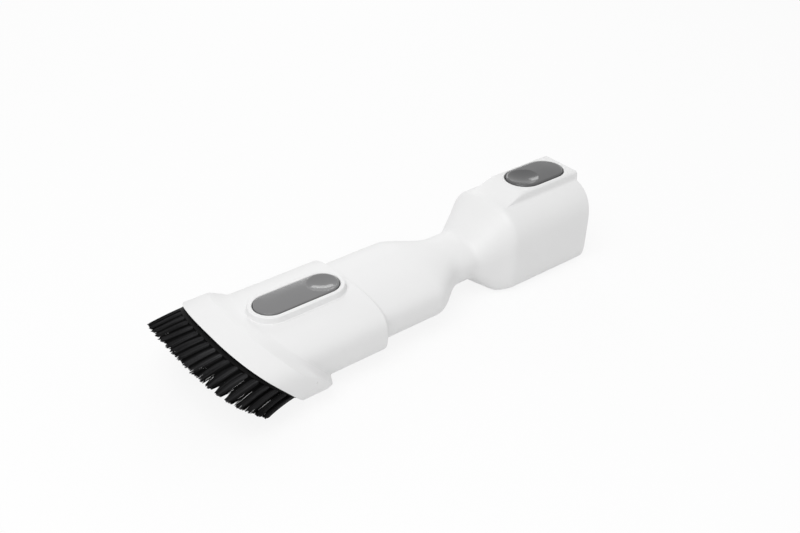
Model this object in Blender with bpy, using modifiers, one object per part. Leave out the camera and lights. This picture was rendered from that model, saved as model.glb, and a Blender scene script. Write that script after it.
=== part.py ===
"""Two-in-one dusting brush nozzle of a stick vacuum cleaner.

The brush points along -Y, the connector along +Y and the buttons along +Z.
Lengths are in metres. Distances along the tool are measured from the front
of the brush lip, and the base empty brings the middle of the tool to Y = 0.
"""

import math
import random

import bmesh
import bpy
from mathutils import Matrix, Vector

# Whole tool
BRISTLE_REACH = 0.0152
PIECE_GAP = 0.0003
CUT_OVERRUN = 0.004
RING_POINTS = 48

# Nozzle tube
NOZZLE_HALF_WIDTH = 0.0247
NOZZLE_TOP = 0.0268
NOZZLE_POWER = 2.95
NOZZLE_WALL = 0.0019
NOZZLE_RECESS = 0.0058
NOZZLE_EDGE = 0.0006

# Shoulder and neck, stepped in from the nozzle tube
SHOULDER_LENGTH = 0.0215
SHOULDER_STEPS = 8
NECK_LENGTH = 0.0065
NECK_SIDE_STEP = 0.0110
NECK_TOP_STEP = 0.0011
NECK_FLOOR_STEP = 0.0027
NECK_POWER = 2.45

# Funnel from the neck to the connector housing
FUNNEL_LAG = 0.0010
FUNNEL_LENGTH = 0.0193
FUNNEL_FLOOR_LENGTH = 0.0141
FUNNEL_STEPS = 9
FUNNEL_EVEN_SHARE = 0.5

# Connector housing, sized by the socket sleeve inside it
SLEEVE_SIDE_ROOM = 0.0022
LATCH_ROOM = 0.0050
HOUSING_TOP_POWER = 2.8
HOUSING_FLOOR_POWER = 7.0
HOUSING_WALL = 0.0025
HOUSING_EDGE = 0.0007
RIM_LEAN = 0.0020
SEAT_SETBACK = 0.0052
SEAT_STEP = 0.0013

# Platform round the release key
PLATFORM_MARGIN = 0.0022
PLATFORM_RISE = 0.0032
PLATFORM_EDGE = 0.0009
PLATFORM_END_STEP = 0.0002
RAMP_SETBACK = 0.0008
RAMP_LENGTH = 0.0098

# Socket sleeve inside the housing
SLEEVE_HALF_WIDTH = 0.0152
SLEEVE_TOP = 0.0310
SLEEVE_BOTTOM = 0.0046
SLEEVE_POWER = 3.0
SLEEVE_WALL = 0.0017
SLEEVE_PLATE = 0.0018
RIM_RECESS = 0.0006
THROAT_STEP = 0.0019
THROAT_LENGTH = 0.0050

# Seal ring in the socket
SEAL_WIDTH = 0.0013
SEAL_DEPTH = 0.0024
SEAL_LIP = 0.0005

# Release key, a rocker in the platform
KEY_SETBACK = 0.0026
KEY_LENGTH = 0.0303
KEY_REAR_MARGIN = 0.0017
KEY_HALF_WIDTH = 0.0085
KEY_RISE = 0.0004
KEY_CROWN = 0.0003
KEY_HEIGHT = 0.0042
KEY_EDGE = 0.0009
KEY_GAP = 0.00045
KEY_DISH_RADIUS = 0.0072
KEY_DISH_DEPTH = 0.0013
KEY_DISH_SETBACK = 0.0078

# Pivot pin of the release key
PIN_RADIUS = 0.0008
PIN_SETBACK = 0.0152
PIN_DEPTH = 0.0026
PIN_END_COVER = 0.0006

# Latch under the release key
LATCH_HALF_WIDTH = 0.0045
LATCH_PLATE = 0.0014
LATCH_SETBACK = 0.0085
HOOK_SETBACK = 0.0075
HOOK_THICKNESS = 0.0034
HOOK_BITE = 0.0009
HOOK_CHAMFER = 0.0012
HOOK_SWING = 0.0019
HOOK_SLOT_GAP = 0.0007

# Return spring of the release key
SPRING_SETBACK = 0.0046
SPRING_RADIUS = 0.0019
SPRING_WIRE_RADIUS = 0.00025
SPRING_CURLS = 5
SPRING_CURL_POINTS = 9
SPRING_PEG_RADIUS = 0.0012
SPRING_PEG_HEIGHT = 0.0012

# Sliding brush collar round the nozzle tube
COLLAR_SIDE_WALL = 0.00345
COLLAR_TOP_WALL = 0.00155
COLLAR_FLOOR_WALL = 0.00195
COLLAR_BOTTOM = 0.0021
COLLAR_POWER = 3.05
COLLAR_EDGE = 0.0007
COLLAR_FLARE_SETBACK = 0.0006
SLIDE_GAP = 0.00035
SLIDE_TRAVEL = 0.0260
SLIDE_ROOM = 0.0044

# Flange at the front of the collar
FLANGE_SIDE_STEP = 0.0055
FLANGE_TOP_STEP = 0.0013
FLANGE_POWER = 3.1
FLANGE_BAND = 0.0124
FLANGE_SLOPE = 0.0050
FLANGE_EDGE = 0.0006
LIP_SLANT = 0.0270
LIP_SLANT_POWER = 0.90
LIP_WALL = 0.0007
MOUTH_WALL = 0.0014
MOUTH_FLOOR_WALL = 0.0008
MOUTH_POWER = 3.0
MOUTH_DEPTH = 0.0065

# Groove for the brush
GROOVE_WIDTH = 0.0016
GROOVE_DEPTH = 0.0056
RING_DEPTH = 0.0022
SLICE_DEPTH = 0.0040
BARE_RING_STEP = 0.0023

# Boss and collar button, a rocker in the boss
BUTTON_FRONT_MARGIN = 0.0044
BUTTON_REAR_MARGIN = 0.0054
BUTTON_LENGTH = 0.0389
BUTTON_HALF_WIDTH = 0.0073
BUTTON_RISE = 0.0025
BUTTON_CROWN = 0.00015
BUTTON_HEIGHT = 0.0021
BUTTON_EDGE = 0.0005
BUTTON_GAP = 0.00035
BUTTON_DISH_RADIUS = 0.0064
BUTTON_DISH_DEPTH = 0.0011
PIVOT_SETBACK = 0.0222
BOSS_WALL = 0.0017
BOSS_DROP = 0.0003
BOSS_EDGE = 0.0006
LEDGE_WIDTH = 0.0022
LEDGE_DROP = 0.0011
TRUNNION_RADIUS = 0.0005
TRUNNION_RISE = 0.00015
TRUNNION_COVER = 0.0004
TOOTH_SETBACK = 0.0019
TOOTH_LENGTH = 0.0025
TOOTH_HALF_WIDTH = 0.0028
TOOTH_BITE = 0.0008
TRACK_GAP = 0.0004

# Leaf spring under the collar button
LEAF_SETBACK = 0.0082
LEAF_LENGTH = 0.0026
LEAF_THICKNESS = 0.0002
LEAF_REST = 0.0010

# Bristle tufts
TUFTS = 23
TUFT_COLUMNS = 7
TUFT_ROWS = 2
TUFT_GAP = 0.0003
TUFT_START_ANGLE = math.radians(-18)
TUFT_END_ANGLE = math.radians(198)
TUFT_CLEAR_ANGLE = math.radians(3)
TUFT_FULL_SHARE = 0.74
STRAND_RADIUS = 0.00017
STRAND_SIDES = 3
STRAND_SINK = 0.0010
DROOP_MIDDLE = 0.0012
DROOP_SIDE = 0.0026
STRAND_PINCH = 0.0005
STRAND_LEAN = 0.00025
STRAND_UNEVEN = 0.0014
TIP_SHARE = 0.55
STRAY_SHARE = 0.12
SPLAY_SHARE = 0.07

# Places along the tool, each from the piece before it
SLOPE_FOOT = FLANGE_BAND + FLANGE_SLOPE
BUTTON_START = SLOPE_FOOT + BUTTON_FRONT_MARGIN
BUTTON_END = BUTTON_START + BUTTON_LENGTH
BUTTON_PIVOT = BUTTON_START + PIVOT_SETBACK
LEAF_START = BUTTON_END - LEAF_SETBACK
COLLAR_REAR = BUTTON_END + BUTTON_REAR_MARGIN
SHOULDER_START = COLLAR_REAR + SLIDE_TRAVEL + SLIDE_ROOM
SHOULDER_END = SHOULDER_START + SHOULDER_LENGTH
FUNNEL_FLOOR_START = SHOULDER_END + NECK_LENGTH
FUNNEL_FLOOR_END = FUNNEL_FLOOR_START + FUNNEL_FLOOR_LENGTH
FUNNEL_START = FUNNEL_FLOOR_START + FUNNEL_LAG
FUNNEL_END = FUNNEL_START + FUNNEL_LENGTH
SEAT_START = FUNNEL_END + SEAT_SETBACK
RAMP_START = FUNNEL_END + RAMP_SETBACK
RAMP_END = RAMP_START + RAMP_LENGTH
KEY_START = RAMP_END + KEY_SETBACK
KEY_END = KEY_START + KEY_LENGTH
LATCH_PLATE_START = KEY_START + LATCH_SETBACK
HOOK_START = KEY_END - HOOK_SETBACK
LENGTH = KEY_END + KEY_REAR_MARGIN
MIDDLE = (LENGTH + RIM_LEAN / 2 - BRISTLE_REACH) / 2

# Widths and heights, each from the piece inside it
NOZZLE_BOTTOM = COLLAR_BOTTOM + COLLAR_FLOOR_WALL + SLIDE_GAP
NOZZLE_MIDDLE = (NOZZLE_TOP + NOZZLE_BOTTOM) / 2
NECK_HALF_WIDTH = NOZZLE_HALF_WIDTH - NECK_SIDE_STEP
NECK_TOP = NOZZLE_TOP - NECK_TOP_STEP
NECK_BOTTOM = NOZZLE_BOTTOM + NECK_FLOOR_STEP
BORE_TOP = NOZZLE_TOP + SLIDE_GAP
COLLAR_HALF_WIDTH = NOZZLE_HALF_WIDTH + SLIDE_GAP + COLLAR_SIDE_WALL
COLLAR_TOP = BORE_TOP + COLLAR_TOP_WALL
COLLAR_FLARE_END = SLOPE_FOOT + COLLAR_FLARE_SETBACK
FLANGE_HALF_WIDTH = COLLAR_HALF_WIDTH + FLANGE_SIDE_STEP
FLANGE_TOP = COLLAR_TOP + FLANGE_TOP_STEP
FLANGE_MIDDLE = FLANGE_TOP / 2
GROOVE_INNER = LIP_WALL + GROOVE_WIDTH
MOUTH_HALF_WIDTH = FLANGE_HALF_WIDTH - GROOVE_INNER - MOUTH_WALL
MOUTH_FLOOR = GROOVE_INNER + MOUTH_FLOOR_WALL
SLEEVE_OUTER_TOP = SLEEVE_TOP + SLEEVE_WALL
HOUSING_HALF_WIDTH = SLEEVE_HALF_WIDTH + SLEEVE_WALL + SLEEVE_SIDE_ROOM + HOUSING_WALL
HOUSING_TOP = SLEEVE_OUTER_TOP + LATCH_ROOM + HOUSING_WALL
PLATFORM_HALF_WIDTH = KEY_HALF_WIDTH + PLATFORM_MARGIN
PLATFORM_TOP = HOUSING_TOP + PLATFORM_RISE
KEY_TOP = PLATFORM_TOP + KEY_RISE
KEY_BOTTOM = KEY_TOP - KEY_HEIGHT
PIN_Y = KEY_START + PIN_SETBACK
PIN_Z = KEY_TOP - PIN_DEPTH
BUTTON_TOP = COLLAR_TOP + BUTTON_RISE
BUTTON_BOTTOM = BUTTON_TOP - BUTTON_HEIGHT
TRUNNION_Z = BUTTON_BOTTOM + TRUNNION_RADIUS + TRUNNION_RISE
LEDGE_Z = BUTTON_BOTTOM - LEDGE_DROP

for old in list(bpy.data.objects):
    bpy.data.objects.remove(old, do_unlink=True)

parts = bpy.data.collections.new("dusting_brush_nozzle")
cutters = bpy.data.collections.new("cutters")
for group in (parts, cutters):
    bpy.context.scene.collection.children.link(group)
cutters.hide_render = True


def material(name, colour, roughness, metallic=0.0):
    made = bpy.data.materials.new(name)
    made.use_nodes = True
    shader = made.node_tree.nodes["Principled BSDF"]
    shader.inputs["Base Color"].default_value = (*colour, 1.0)
    shader.inputs["Roughness"].default_value = roughness
    shader.inputs["Metallic"].default_value = metallic
    return made


WHITE = material("white_plastic", (0.84, 0.84, 0.84), 0.42)
SLEEVE_WHITE = material("sleeve_plastic", (0.70, 0.70, 0.70), 0.5)
KEY_GREY = material("key_grey", (0.175, 0.175, 0.178), 0.38)
BUTTON_GREY = material("button_grey", (0.235, 0.235, 0.238), 0.38)
LATCH_BLACK = material("latch_plastic", (0.05, 0.05, 0.05), 0.4)
SEAL_RUBBER = material("seal_rubber", (0.03, 0.03, 0.03), 0.75)
STEEL = material("steel", (0.55, 0.55, 0.56), 0.3, 1.0)
BRISTLE_BLACK = material("bristle_nylon", (0.012, 0.012, 0.013), 0.35)
BACKING_BLACK = material("backing_plastic", (0.02, 0.02, 0.02), 0.5)


def empty(name, place, parent=None):
    made = bpy.data.objects.new(name, None)
    made.empty_display_size = PLATFORM_HALF_WIDTH
    made.location = place
    parts.objects.link(made)
    if parent:
        made.parent = parent
        made.location = Vector(place) - Vector(parent["place"])
    made["place"] = place
    return made


base = empty("tool_base", (0, 0, 0))
base.location = (0, -MIDDLE, 0)
slide_frame = empty("brush_slide_frame", (0, COLLAR_REAR, NOZZLE_MIDDLE), base)
button_axis = empty("collar_button_axis", (0, BUTTON_PIVOT, TRUNNION_Z), slide_frame)
key_axis = empty("release_key_axis", (0, PIN_Y, PIN_Z), base)


def settle(obj, parent):
    """Gives a piece drawn in tool coordinates its origin at its parent's place."""
    obj.data.transform(Matrix.Translation(-Vector(parent["place"])) @ obj.matrix_basis)
    obj.matrix_basis = Matrix()
    obj.parent = parent


def piece(name, mesh, look, parent=base, smooth=35):
    obj = bpy.data.objects.new(name, mesh)
    parts.objects.link(obj)
    mesh.materials.clear()
    mesh.materials.append(look)
    mesh.shade_smooth()
    mesh.set_sharp_from_angle(angle=math.radians(smooth))
    settle(obj, parent)
    return obj


def cutter(obj, parent=base):
    for group in obj.users_collection:
        group.objects.unlink(obj)
    cutters.objects.link(obj)
    obj.hide_render = True
    obj.display_type = "WIRE"
    settle(obj, parent)
    return obj


def boolean(obj, other, operation):
    modifier = obj.modifiers.new(other.name, "BOOLEAN")
    modifier.operation = operation
    modifier.solver = "EXACT"
    modifier.object = other


def loft(name, rings, ring_of_rings=False):
    """Skins rings of equal length, capped at both ends or joined back to the first."""
    bm = bmesh.new()
    rows = [[bm.verts.new(point) for point in ring] for ring in rings]
    pairs = list(zip(rows, rows[1:]))
    if ring_of_rings:
        pairs.append((rows[-1], rows[0]))
    else:
        bm.faces.new(list(reversed(rows[0])))
        bm.faces.new(rows[-1])
    for first, second in pairs:
        for i in range(len(first)):
            j = (i + 1) % len(first)
            bm.faces.new((first[i], first[j], second[j], second[i]))
    bmesh.ops.recalc_face_normals(bm, faces=bm.faces)
    mesh = bpy.data.meshes.new(name)
    bm.to_mesh(mesh)
    bm.free()
    return mesh


def flat_solid(name, outline, low, high, turn=Matrix()):
    """A flat outline in X and Y, made solid from low to high along Z, then turned."""
    curve = bpy.data.curves.new(name, "CURVE")
    curve.dimensions = "2D"
    curve.fill_mode = "BOTH"
    curve.extrude = (high - low) / 2
    spline = curve.splines.new("POLY")
    spline.points.add(len(outline) - 1)
    for point, (x, y) in zip(spline.points, outline):
        point.co = (x, y, 0, 1)
    spline.use_cyclic_u = True
    drawn = bpy.data.objects.new(name, curve)
    bpy.context.scene.collection.objects.link(drawn)
    graph = bpy.context.evaluated_depsgraph_get()
    mesh = bpy.data.meshes.new_from_object(drawn.evaluated_get(graph))
    bpy.data.objects.remove(drawn)
    bpy.data.curves.remove(curve)
    bm = bmesh.new()
    bm.from_mesh(mesh)
    bmesh.ops.remove_doubles(bm, verts=bm.verts, dist=1e-7)
    bmesh.ops.recalc_face_normals(bm, faces=bm.faces)
    bm.to_mesh(mesh)
    bm.free()
    mesh.transform(turn @ Matrix.Translation((0, 0, (high + low) / 2)))
    if turn.determinant() < 0:
        mesh.flip_normals()
    return mesh


def helper(name, mesh):
    obj = bpy.data.objects.new(name, mesh)
    cutters.objects.link(obj)
    return cutter(obj)


def box(name, low, high):
    """A box between two corners."""
    bpy.ops.mesh.primitive_cube_add(size=1)
    obj = bpy.context.object
    obj.name = name
    low, high = Vector(low), Vector(high)
    obj.data.transform(
        Matrix.Translation((low + high) / 2) @ Matrix.Diagonal((*(high - low), 1))
    )
    return obj


def rod(name, radius, half_length, place, sides=24):
    """A rod along X."""
    bpy.ops.mesh.primitive_cylinder_add(
        vertices=sides, radius=radius, depth=2 * half_length
    )
    obj = bpy.context.object
    obj.name = name
    obj.data.transform(
        Matrix.Translation(place) @ Matrix.Rotation(math.radians(90), 4, "Y")
    )
    return obj


def pill(half_width, start, end, arc_points=10):
    """A pill outline whose length runs along Y."""
    points = []
    for centre, turn in ((end - half_width, 0), (start + half_width, math.pi)):
        for k in range(arc_points + 1):
            angle = turn + math.pi * k / arc_points
            points.append(
                (half_width * math.cos(angle), centre + half_width * math.sin(angle))
            )
    return points


def rounded(angle, half_width, top, bottom, top_power, bottom_power):
    """The point of a rounded section at one angle, from +X over the top."""
    c, s = math.cos(angle), math.sin(angle)
    power = top_power if s >= 0 else bottom_power
    x = half_width * math.copysign(abs(c) ** (2 / power), c)
    z = (top + bottom) / 2 + (top - bottom) / 2 * math.copysign(abs(s) ** (2 / power), s)
    return x, z


def lip_set_back(z):
    """How far the slanted brush lip lies behind its foremost point at height z."""
    return LIP_SLANT * max(1 - z / FLANGE_TOP, 0) ** LIP_SLANT_POWER


def ring(y, half_width, top, bottom, top_power, bottom_power, follow=0.0):
    """One section at y. follow is the share of the lip's slant it takes."""
    points = []
    for k in range(RING_POINTS):
        angle = 2 * math.pi * (k + 0.5) / RING_POINTS
        x, z = rounded(angle, half_width, top, bottom, top_power, bottom_power)
        points.append((x, y + follow * lip_set_back(z), z))
    return points


def ease(t):
    t = min(max(t, 0), 1)
    return t * t * (3 - 2 * t)


def mix(a, b, share):
    return a + (b - a) * share


def widening(y, start, end):
    """How far the funnel has opened at y, part eased and part even."""
    even = min(max((y - start) / (end - start), 0), 1)
    return mix(ease(even), even, FUNNEL_EVEN_SHARE)


def body_section(y, inset=0.0):
    """Outline sizes of the tube, neck and housing at y, drawn in by inset."""
    shoulder = ease((y - SHOULDER_START) / (SHOULDER_END - SHOULDER_START))
    funnel = widening(y, FUNNEL_START, FUNNEL_END)
    floor = widening(y, FUNNEL_FLOOR_START, FUNNEL_FLOOR_END)

    def through(nozzle, neck, housing, last):
        return mix(mix(nozzle, neck, shoulder), housing, last)

    half_width = through(NOZZLE_HALF_WIDTH, NECK_HALF_WIDTH, HOUSING_HALF_WIDTH, funnel)
    top = through(NOZZLE_TOP, NECK_TOP, HOUSING_TOP, funnel)
    bottom = through(NOZZLE_BOTTOM, NECK_BOTTOM, 0, floor)
    top_power = through(NOZZLE_POWER, NECK_POWER, HOUSING_TOP_POWER, funnel)
    bottom_power = through(NOZZLE_POWER, NECK_POWER, HOUSING_FLOOR_POWER, floor)
    return half_width - inset, top - inset, bottom + inset, top_power, bottom_power


def body_ring(y, inset=0.0, follow=0.0):
    return ring(y, *body_section(y, inset), follow)


def rim_place(z, step=0.0):
    """Place of the leaning rear rim at a height, or of a step in front of it."""
    return LENGTH - step + RIM_LEAN * (z / PLATFORM_TOP - 1 / 2)


def by_the_rim(points, step=0.0):
    """The points of a ring moved to the leaning rim, or a step in front of it."""
    return [(x, rim_place(z, step), z) for x, _, z in points]


def steps(start, end, count):
    return [mix(start, end, k / count) for k in range(count + 1)]


# Body shell: nozzle tube, neck and connector housing in one moulding
STRAIGHT_START = NOZZLE_RECESS + LIP_SLANT
shoulder_places = steps(SHOULDER_START, SHOULDER_END, SHOULDER_STEPS)
funnel_places = steps(FUNNEL_FLOOR_START, FUNNEL_END, FUNNEL_STEPS)
outside = [
    body_ring(NOZZLE_RECESS, NOZZLE_EDGE, 1.0),
    body_ring(NOZZLE_RECESS + NOZZLE_EDGE, 0.0, 1.0),
    body_ring(STRAIGHT_START),
]
outside += [body_ring(y) for y in shoulder_places + funnel_places]
outside += [
    by_the_rim(body_ring(LENGTH), HOUSING_EDGE),
    by_the_rim(body_ring(LENGTH, HOUSING_EDGE)),
]


def wall_at(y):
    return mix(NOZZLE_WALL, HOUSING_WALL, widening(y, FUNNEL_START, FUNNEL_END))


seat_wall = HOUSING_WALL + SEAT_STEP
inside = [
    by_the_rim(body_ring(LENGTH, HOUSING_WALL)),
    body_ring(SEAT_START, HOUSING_WALL),
    body_ring(SEAT_START, seat_wall),
    body_ring(FUNNEL_END, seat_wall),
]
inside += [body_ring(y, wall_at(y)) for y in reversed(funnel_places[:-1])]
inside += [body_ring(y, NOZZLE_WALL) for y in reversed(shoulder_places)]
inside += [body_ring(STRAIGHT_START, NOZZLE_WALL), body_ring(NOZZLE_RECESS, NOZZLE_WALL, 1.0)]
body = piece("body_shell", loft("body_shell", outside + inside, True), WHITE)

platform_low = HOUSING_TOP - HOUSING_WALL / 2
platform_side = [
    (RAMP_START, platform_low),
    (rim_place(platform_low, PLATFORM_END_STEP), platform_low),
    (rim_place(PLATFORM_TOP, PLATFORM_END_STEP), PLATFORM_TOP),
    (RAMP_END, PLATFORM_TOP),
    (RAMP_START, HOUSING_TOP - PLATFORM_EDGE / 2),
]
# Turns the side outline from X, Y into Y, Z.
UPRIGHT = Matrix(((0, 0, 1, 0), (1, 0, 0, 0), (0, 1, 0, 0), (0, 0, 0, 1)))
platform = helper(
    "platform",
    flat_solid(
        "platform", platform_side, -PLATFORM_HALF_WIDTH, PLATFORM_HALF_WIDTH, UPRIGHT
    ),
)
rounding = platform.modifiers.new("edges", "BEVEL")
rounding.width = PLATFORM_EDGE
rounding.segments = 2
rounding.limit_method = "ANGLE"
rounding.angle_limit = math.radians(60)
boolean(body, platform, "UNION")

key_window = helper(
    "key_window",
    flat_solid(
        "key_window",
        pill(KEY_HALF_WIDTH + KEY_GAP, KEY_START - KEY_GAP, KEY_END + KEY_GAP),
        HOUSING_TOP - HOUSING_WALL - CUT_OVERRUN,
        PLATFORM_TOP + CUT_OVERRUN,
    ),
)
boolean(body, key_window, "DIFFERENCE")
pin_half_length = PLATFORM_HALF_WIDTH - PIN_END_COVER
pin_hole = cutter(
    rod("pin_hole", PIN_RADIUS + PIECE_GAP, pin_half_length + PIECE_GAP, (0, PIN_Y, PIN_Z))
)
boolean(body, pin_hole, "DIFFERENCE")

tooth_start = BUTTON_START + TOOTH_SETBACK
tooth_tip = NOZZLE_TOP - TOOTH_BITE
tooth_track = cutter(
    box(
        "tooth_track",
        (-TOOTH_HALF_WIDTH - TRACK_GAP, tooth_start - TRACK_GAP, tooth_tip - PIECE_GAP),
        (
            TOOTH_HALF_WIDTH + TRACK_GAP,
            tooth_start + TOOTH_LENGTH + SLIDE_TRAVEL + TRACK_GAP,
            NOZZLE_TOP + CUT_OVERRUN,
        ),
    )
)
boolean(body, tooth_track, "DIFFERENCE")


# Socket sleeve, with a plate at each end that fits the housing
def sleeve_ring(y, grow=0.0):
    return ring(
        y,
        SLEEVE_HALF_WIDTH + grow,
        SLEEVE_TOP + grow,
        SLEEVE_BOTTOM - grow,
        SLEEVE_POWER,
        SLEEVE_POWER,
    )


def plate_ring(y):
    return body_ring(y, HOUSING_WALL + PIECE_GAP)


sleeve_front = SEAT_START + PIECE_GAP
sleeve_rear = rim_place(0, RIM_RECESS)
throat_end = sleeve_front + THROAT_LENGTH
sleeve = piece(
    "socket_sleeve",
    loft(
        "socket_sleeve",
        [
            sleeve_ring(sleeve_rear),
            plate_ring(sleeve_rear),
            plate_ring(sleeve_rear - SLEEVE_PLATE),
            sleeve_ring(sleeve_rear - SLEEVE_PLATE, SLEEVE_WALL),
            sleeve_ring(sleeve_front + SLEEVE_PLATE, SLEEVE_WALL),
            plate_ring(sleeve_front + SLEEVE_PLATE),
            plate_ring(sleeve_front),
            sleeve_ring(sleeve_front, -THROAT_STEP),
            sleeve_ring(throat_end, -THROAT_STEP),
            sleeve_ring(throat_end),
        ],
        True,
    ),
    SLEEVE_WHITE,
)
hook_slot = cutter(
    box(
        "hook_slot",
        (
            -LATCH_HALF_WIDTH - HOOK_SLOT_GAP,
            HOOK_START - HOOK_SLOT_GAP,
            SLEEVE_TOP - CUT_OVERRUN,
        ),
        (
            LATCH_HALF_WIDTH + HOOK_SLOT_GAP,
            HOOK_START + HOOK_THICKNESS + HOOK_SWING,
            SLEEVE_OUTER_TOP + HOOK_SLOT_GAP,
        ),
    )
)
boolean(sleeve, hook_slot, "DIFFERENCE")

spring_y = KEY_START + SPRING_SETBACK
bpy.ops.mesh.primitive_cylinder_add(
    vertices=16, radius=SPRING_PEG_RADIUS, depth=SLEEVE_WALL + SPRING_PEG_HEIGHT
)
spring_peg = bpy.context.object
spring_peg.name = "spring_peg"
spring_peg.data.transform(
    Matrix.Translation((0, spring_y, SLEEVE_OUTER_TOP + (SPRING_PEG_HEIGHT - SLEEVE_WALL) / 2))
)
cutter(spring_peg)
boolean(sleeve, spring_peg, "UNION")

# Seal ring against the throat step
seal_start = throat_end + PIECE_GAP
seal = piece(
    "socket_seal",
    loft(
        "socket_seal",
        [
            sleeve_ring(seal_start, -PIECE_GAP),
            sleeve_ring(seal_start, -SEAL_WIDTH),
            sleeve_ring(seal_start + SEAL_DEPTH / 2, -SEAL_WIDTH),
            sleeve_ring(seal_start + SEAL_DEPTH, -SEAL_WIDTH - SEAL_LIP),
            sleeve_ring(seal_start + SEAL_DEPTH, -SEAL_WIDTH),
            sleeve_ring(seal_start + SEAL_DEPTH, -PIECE_GAP),
        ],
        True,
    ),
    SEAL_RUBBER,
)


# Rocker caps: a pill with rounded edges and a slight crown
def cap(name, half_width, start, end, bottom, top, edge, crown):
    levels = (
        (0.0, bottom),
        (0.0, top - edge),
        (edge * (1 - math.cos(math.radians(45))), top - edge * (1 - math.sin(math.radians(45)))),
        (edge, top),
        (half_width / 2, top + crown),
    )
    rings = []
    for inset, z in levels:
        outline = pill(half_width - inset, start + inset, end - inset)
        rings.append([(x, y, z) for x, y in outline])
    return loft(name, rings)


def dish(name, radius, depth, place):
    """A shallow round hollow for a fingertip."""
    bpy.ops.mesh.primitive_uv_sphere_add(segments=24, ring_count=14, radius=1)
    obj = bpy.context.object
    obj.name = name
    obj.data.transform(
        Matrix.Translation(place) @ Matrix.Diagonal((radius, radius, depth, 1))
    )
    return obj


key = piece(
    "release_key",
    cap(
        "release_key",
        KEY_HALF_WIDTH,
        KEY_START,
        KEY_END,
        KEY_BOTTOM,
        KEY_TOP,
        KEY_EDGE,
        KEY_CROWN,
    ),
    KEY_GREY,
    key_axis,
    25,
)
key_dish = cutter(
    dish(
        "key_dish",
        KEY_DISH_RADIUS,
        KEY_DISH_DEPTH,
        (0, KEY_START + KEY_DISH_SETBACK, KEY_TOP + KEY_CROWN / 2),
    )
)
boolean(key, key_dish, "DIFFERENCE")
key_bore = cutter(
    rod("key_bore", PIN_RADIUS + PIECE_GAP, KEY_HALF_WIDTH + CUT_OVERRUN, (0, PIN_Y, PIN_Z))
)
boolean(key, key_bore, "DIFFERENCE")

pin = rod("release_pin", PIN_RADIUS, pin_half_length, (0, PIN_Y, PIN_Z))
pin_mesh = pin.data
bpy.data.objects.remove(pin)
piece("release_pin", pin_mesh, STEEL)

# Latch plate and hook under the key
plate_top = KEY_BOTTOM - PIECE_GAP
plate_low = plate_top - LATCH_PLATE
hook_end = HOOK_START + HOOK_THICKNESS
hook_tip = SLEEVE_TOP - HOOK_BITE
latch_side = [
    (LATCH_PLATE_START, plate_top),
    (LATCH_PLATE_START, plate_low),
    (HOOK_START - HOOK_CHAMFER, plate_low),
    (HOOK_START, plate_low - HOOK_CHAMFER),
    (HOOK_START, hook_tip),
    (hook_end - HOOK_CHAMFER, hook_tip),
    (hook_end, hook_tip + HOOK_CHAMFER),
    (hook_end, plate_top),
]
piece(
    "release_latch",
    flat_solid("release_latch", latch_side, -LATCH_HALF_WIDTH, LATCH_HALF_WIDTH, UPRIGHT),
    LATCH_BLACK,
    key_axis,
)


# Return spring between the sleeve and the key
def coil_points(radius, low, high, curls, points_a_curl):
    count = curls * points_a_curl
    points = []
    for k in range(count + 1):
        angle = 2 * math.pi * k / points_a_curl
        z = mix(low, high, k / count)
        points.append(Vector((radius * math.cos(angle), radius * math.sin(angle), z)))
    return points


def tube(name, points, radius, resolution):
    """One unbroken tube along the points, with closed ends."""
    curve = bpy.data.curves.new(name, "CURVE")
    curve.dimensions = "3D"
    curve.bevel_depth = radius
    curve.bevel_resolution = resolution
    curve.use_fill_caps = True
    spline = curve.splines.new("POLY")
    spline.points.add(len(points) - 1)
    for point, place in zip(spline.points, points):
        point.co = (*place, 1)
    drawn = bpy.data.objects.new(name, curve)
    bpy.context.scene.collection.objects.link(drawn)
    graph = bpy.context.evaluated_depsgraph_get()
    mesh = bpy.data.meshes.new_from_object(drawn.evaluated_get(graph))
    bpy.data.objects.remove(drawn)
    bpy.data.curves.remove(curve)
    bm = bmesh.new()
    bm.from_mesh(mesh)
    bmesh.ops.remove_doubles(bm, verts=bm.verts, dist=1e-7)
    bmesh.ops.recalc_face_normals(bm, faces=bm.faces)
    bm.to_mesh(mesh)
    bm.free()
    return mesh


spring_low = SLEEVE_OUTER_TOP + PIECE_GAP + SPRING_WIRE_RADIUS
spring_high = KEY_BOTTOM - PIECE_GAP - SPRING_WIRE_RADIUS
coil = coil_points(SPRING_RADIUS, spring_low, spring_high, SPRING_CURLS, SPRING_CURL_POINTS)
curl_gap = (spring_high - spring_low) / SPRING_CURLS - 2 * SPRING_WIRE_RADIUS
print(f"least gap between curls of the release spring: {curl_gap * 1000:.2f} mm")
spring_mesh = tube("release_spring", coil, SPRING_WIRE_RADIUS, 1)
spring_mesh.transform(Matrix.Translation((0, spring_y, 0)))
piece("release_spring", spring_mesh, STEEL)


# Brush collar: a sleeve on the nozzle with a slanted flange
def flange_ring(y, inset=0.0, follow=1.0):
    return ring(
        y,
        FLANGE_HALF_WIDTH - inset,
        FLANGE_TOP - inset,
        inset,
        FLANGE_POWER,
        FLANGE_POWER,
        follow,
    )


def collar_ring(y, inset=0.0, follow=0.0):
    return ring(
        y,
        COLLAR_HALF_WIDTH - inset,
        COLLAR_TOP - inset,
        COLLAR_BOTTOM + inset,
        COLLAR_POWER,
        COLLAR_POWER,
        follow,
    )


def mouth_ring(y):
    return ring(y, MOUTH_HALF_WIDTH, BORE_TOP, MOUTH_FLOOR, MOUTH_POWER, MOUTH_POWER, 1.0)


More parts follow.
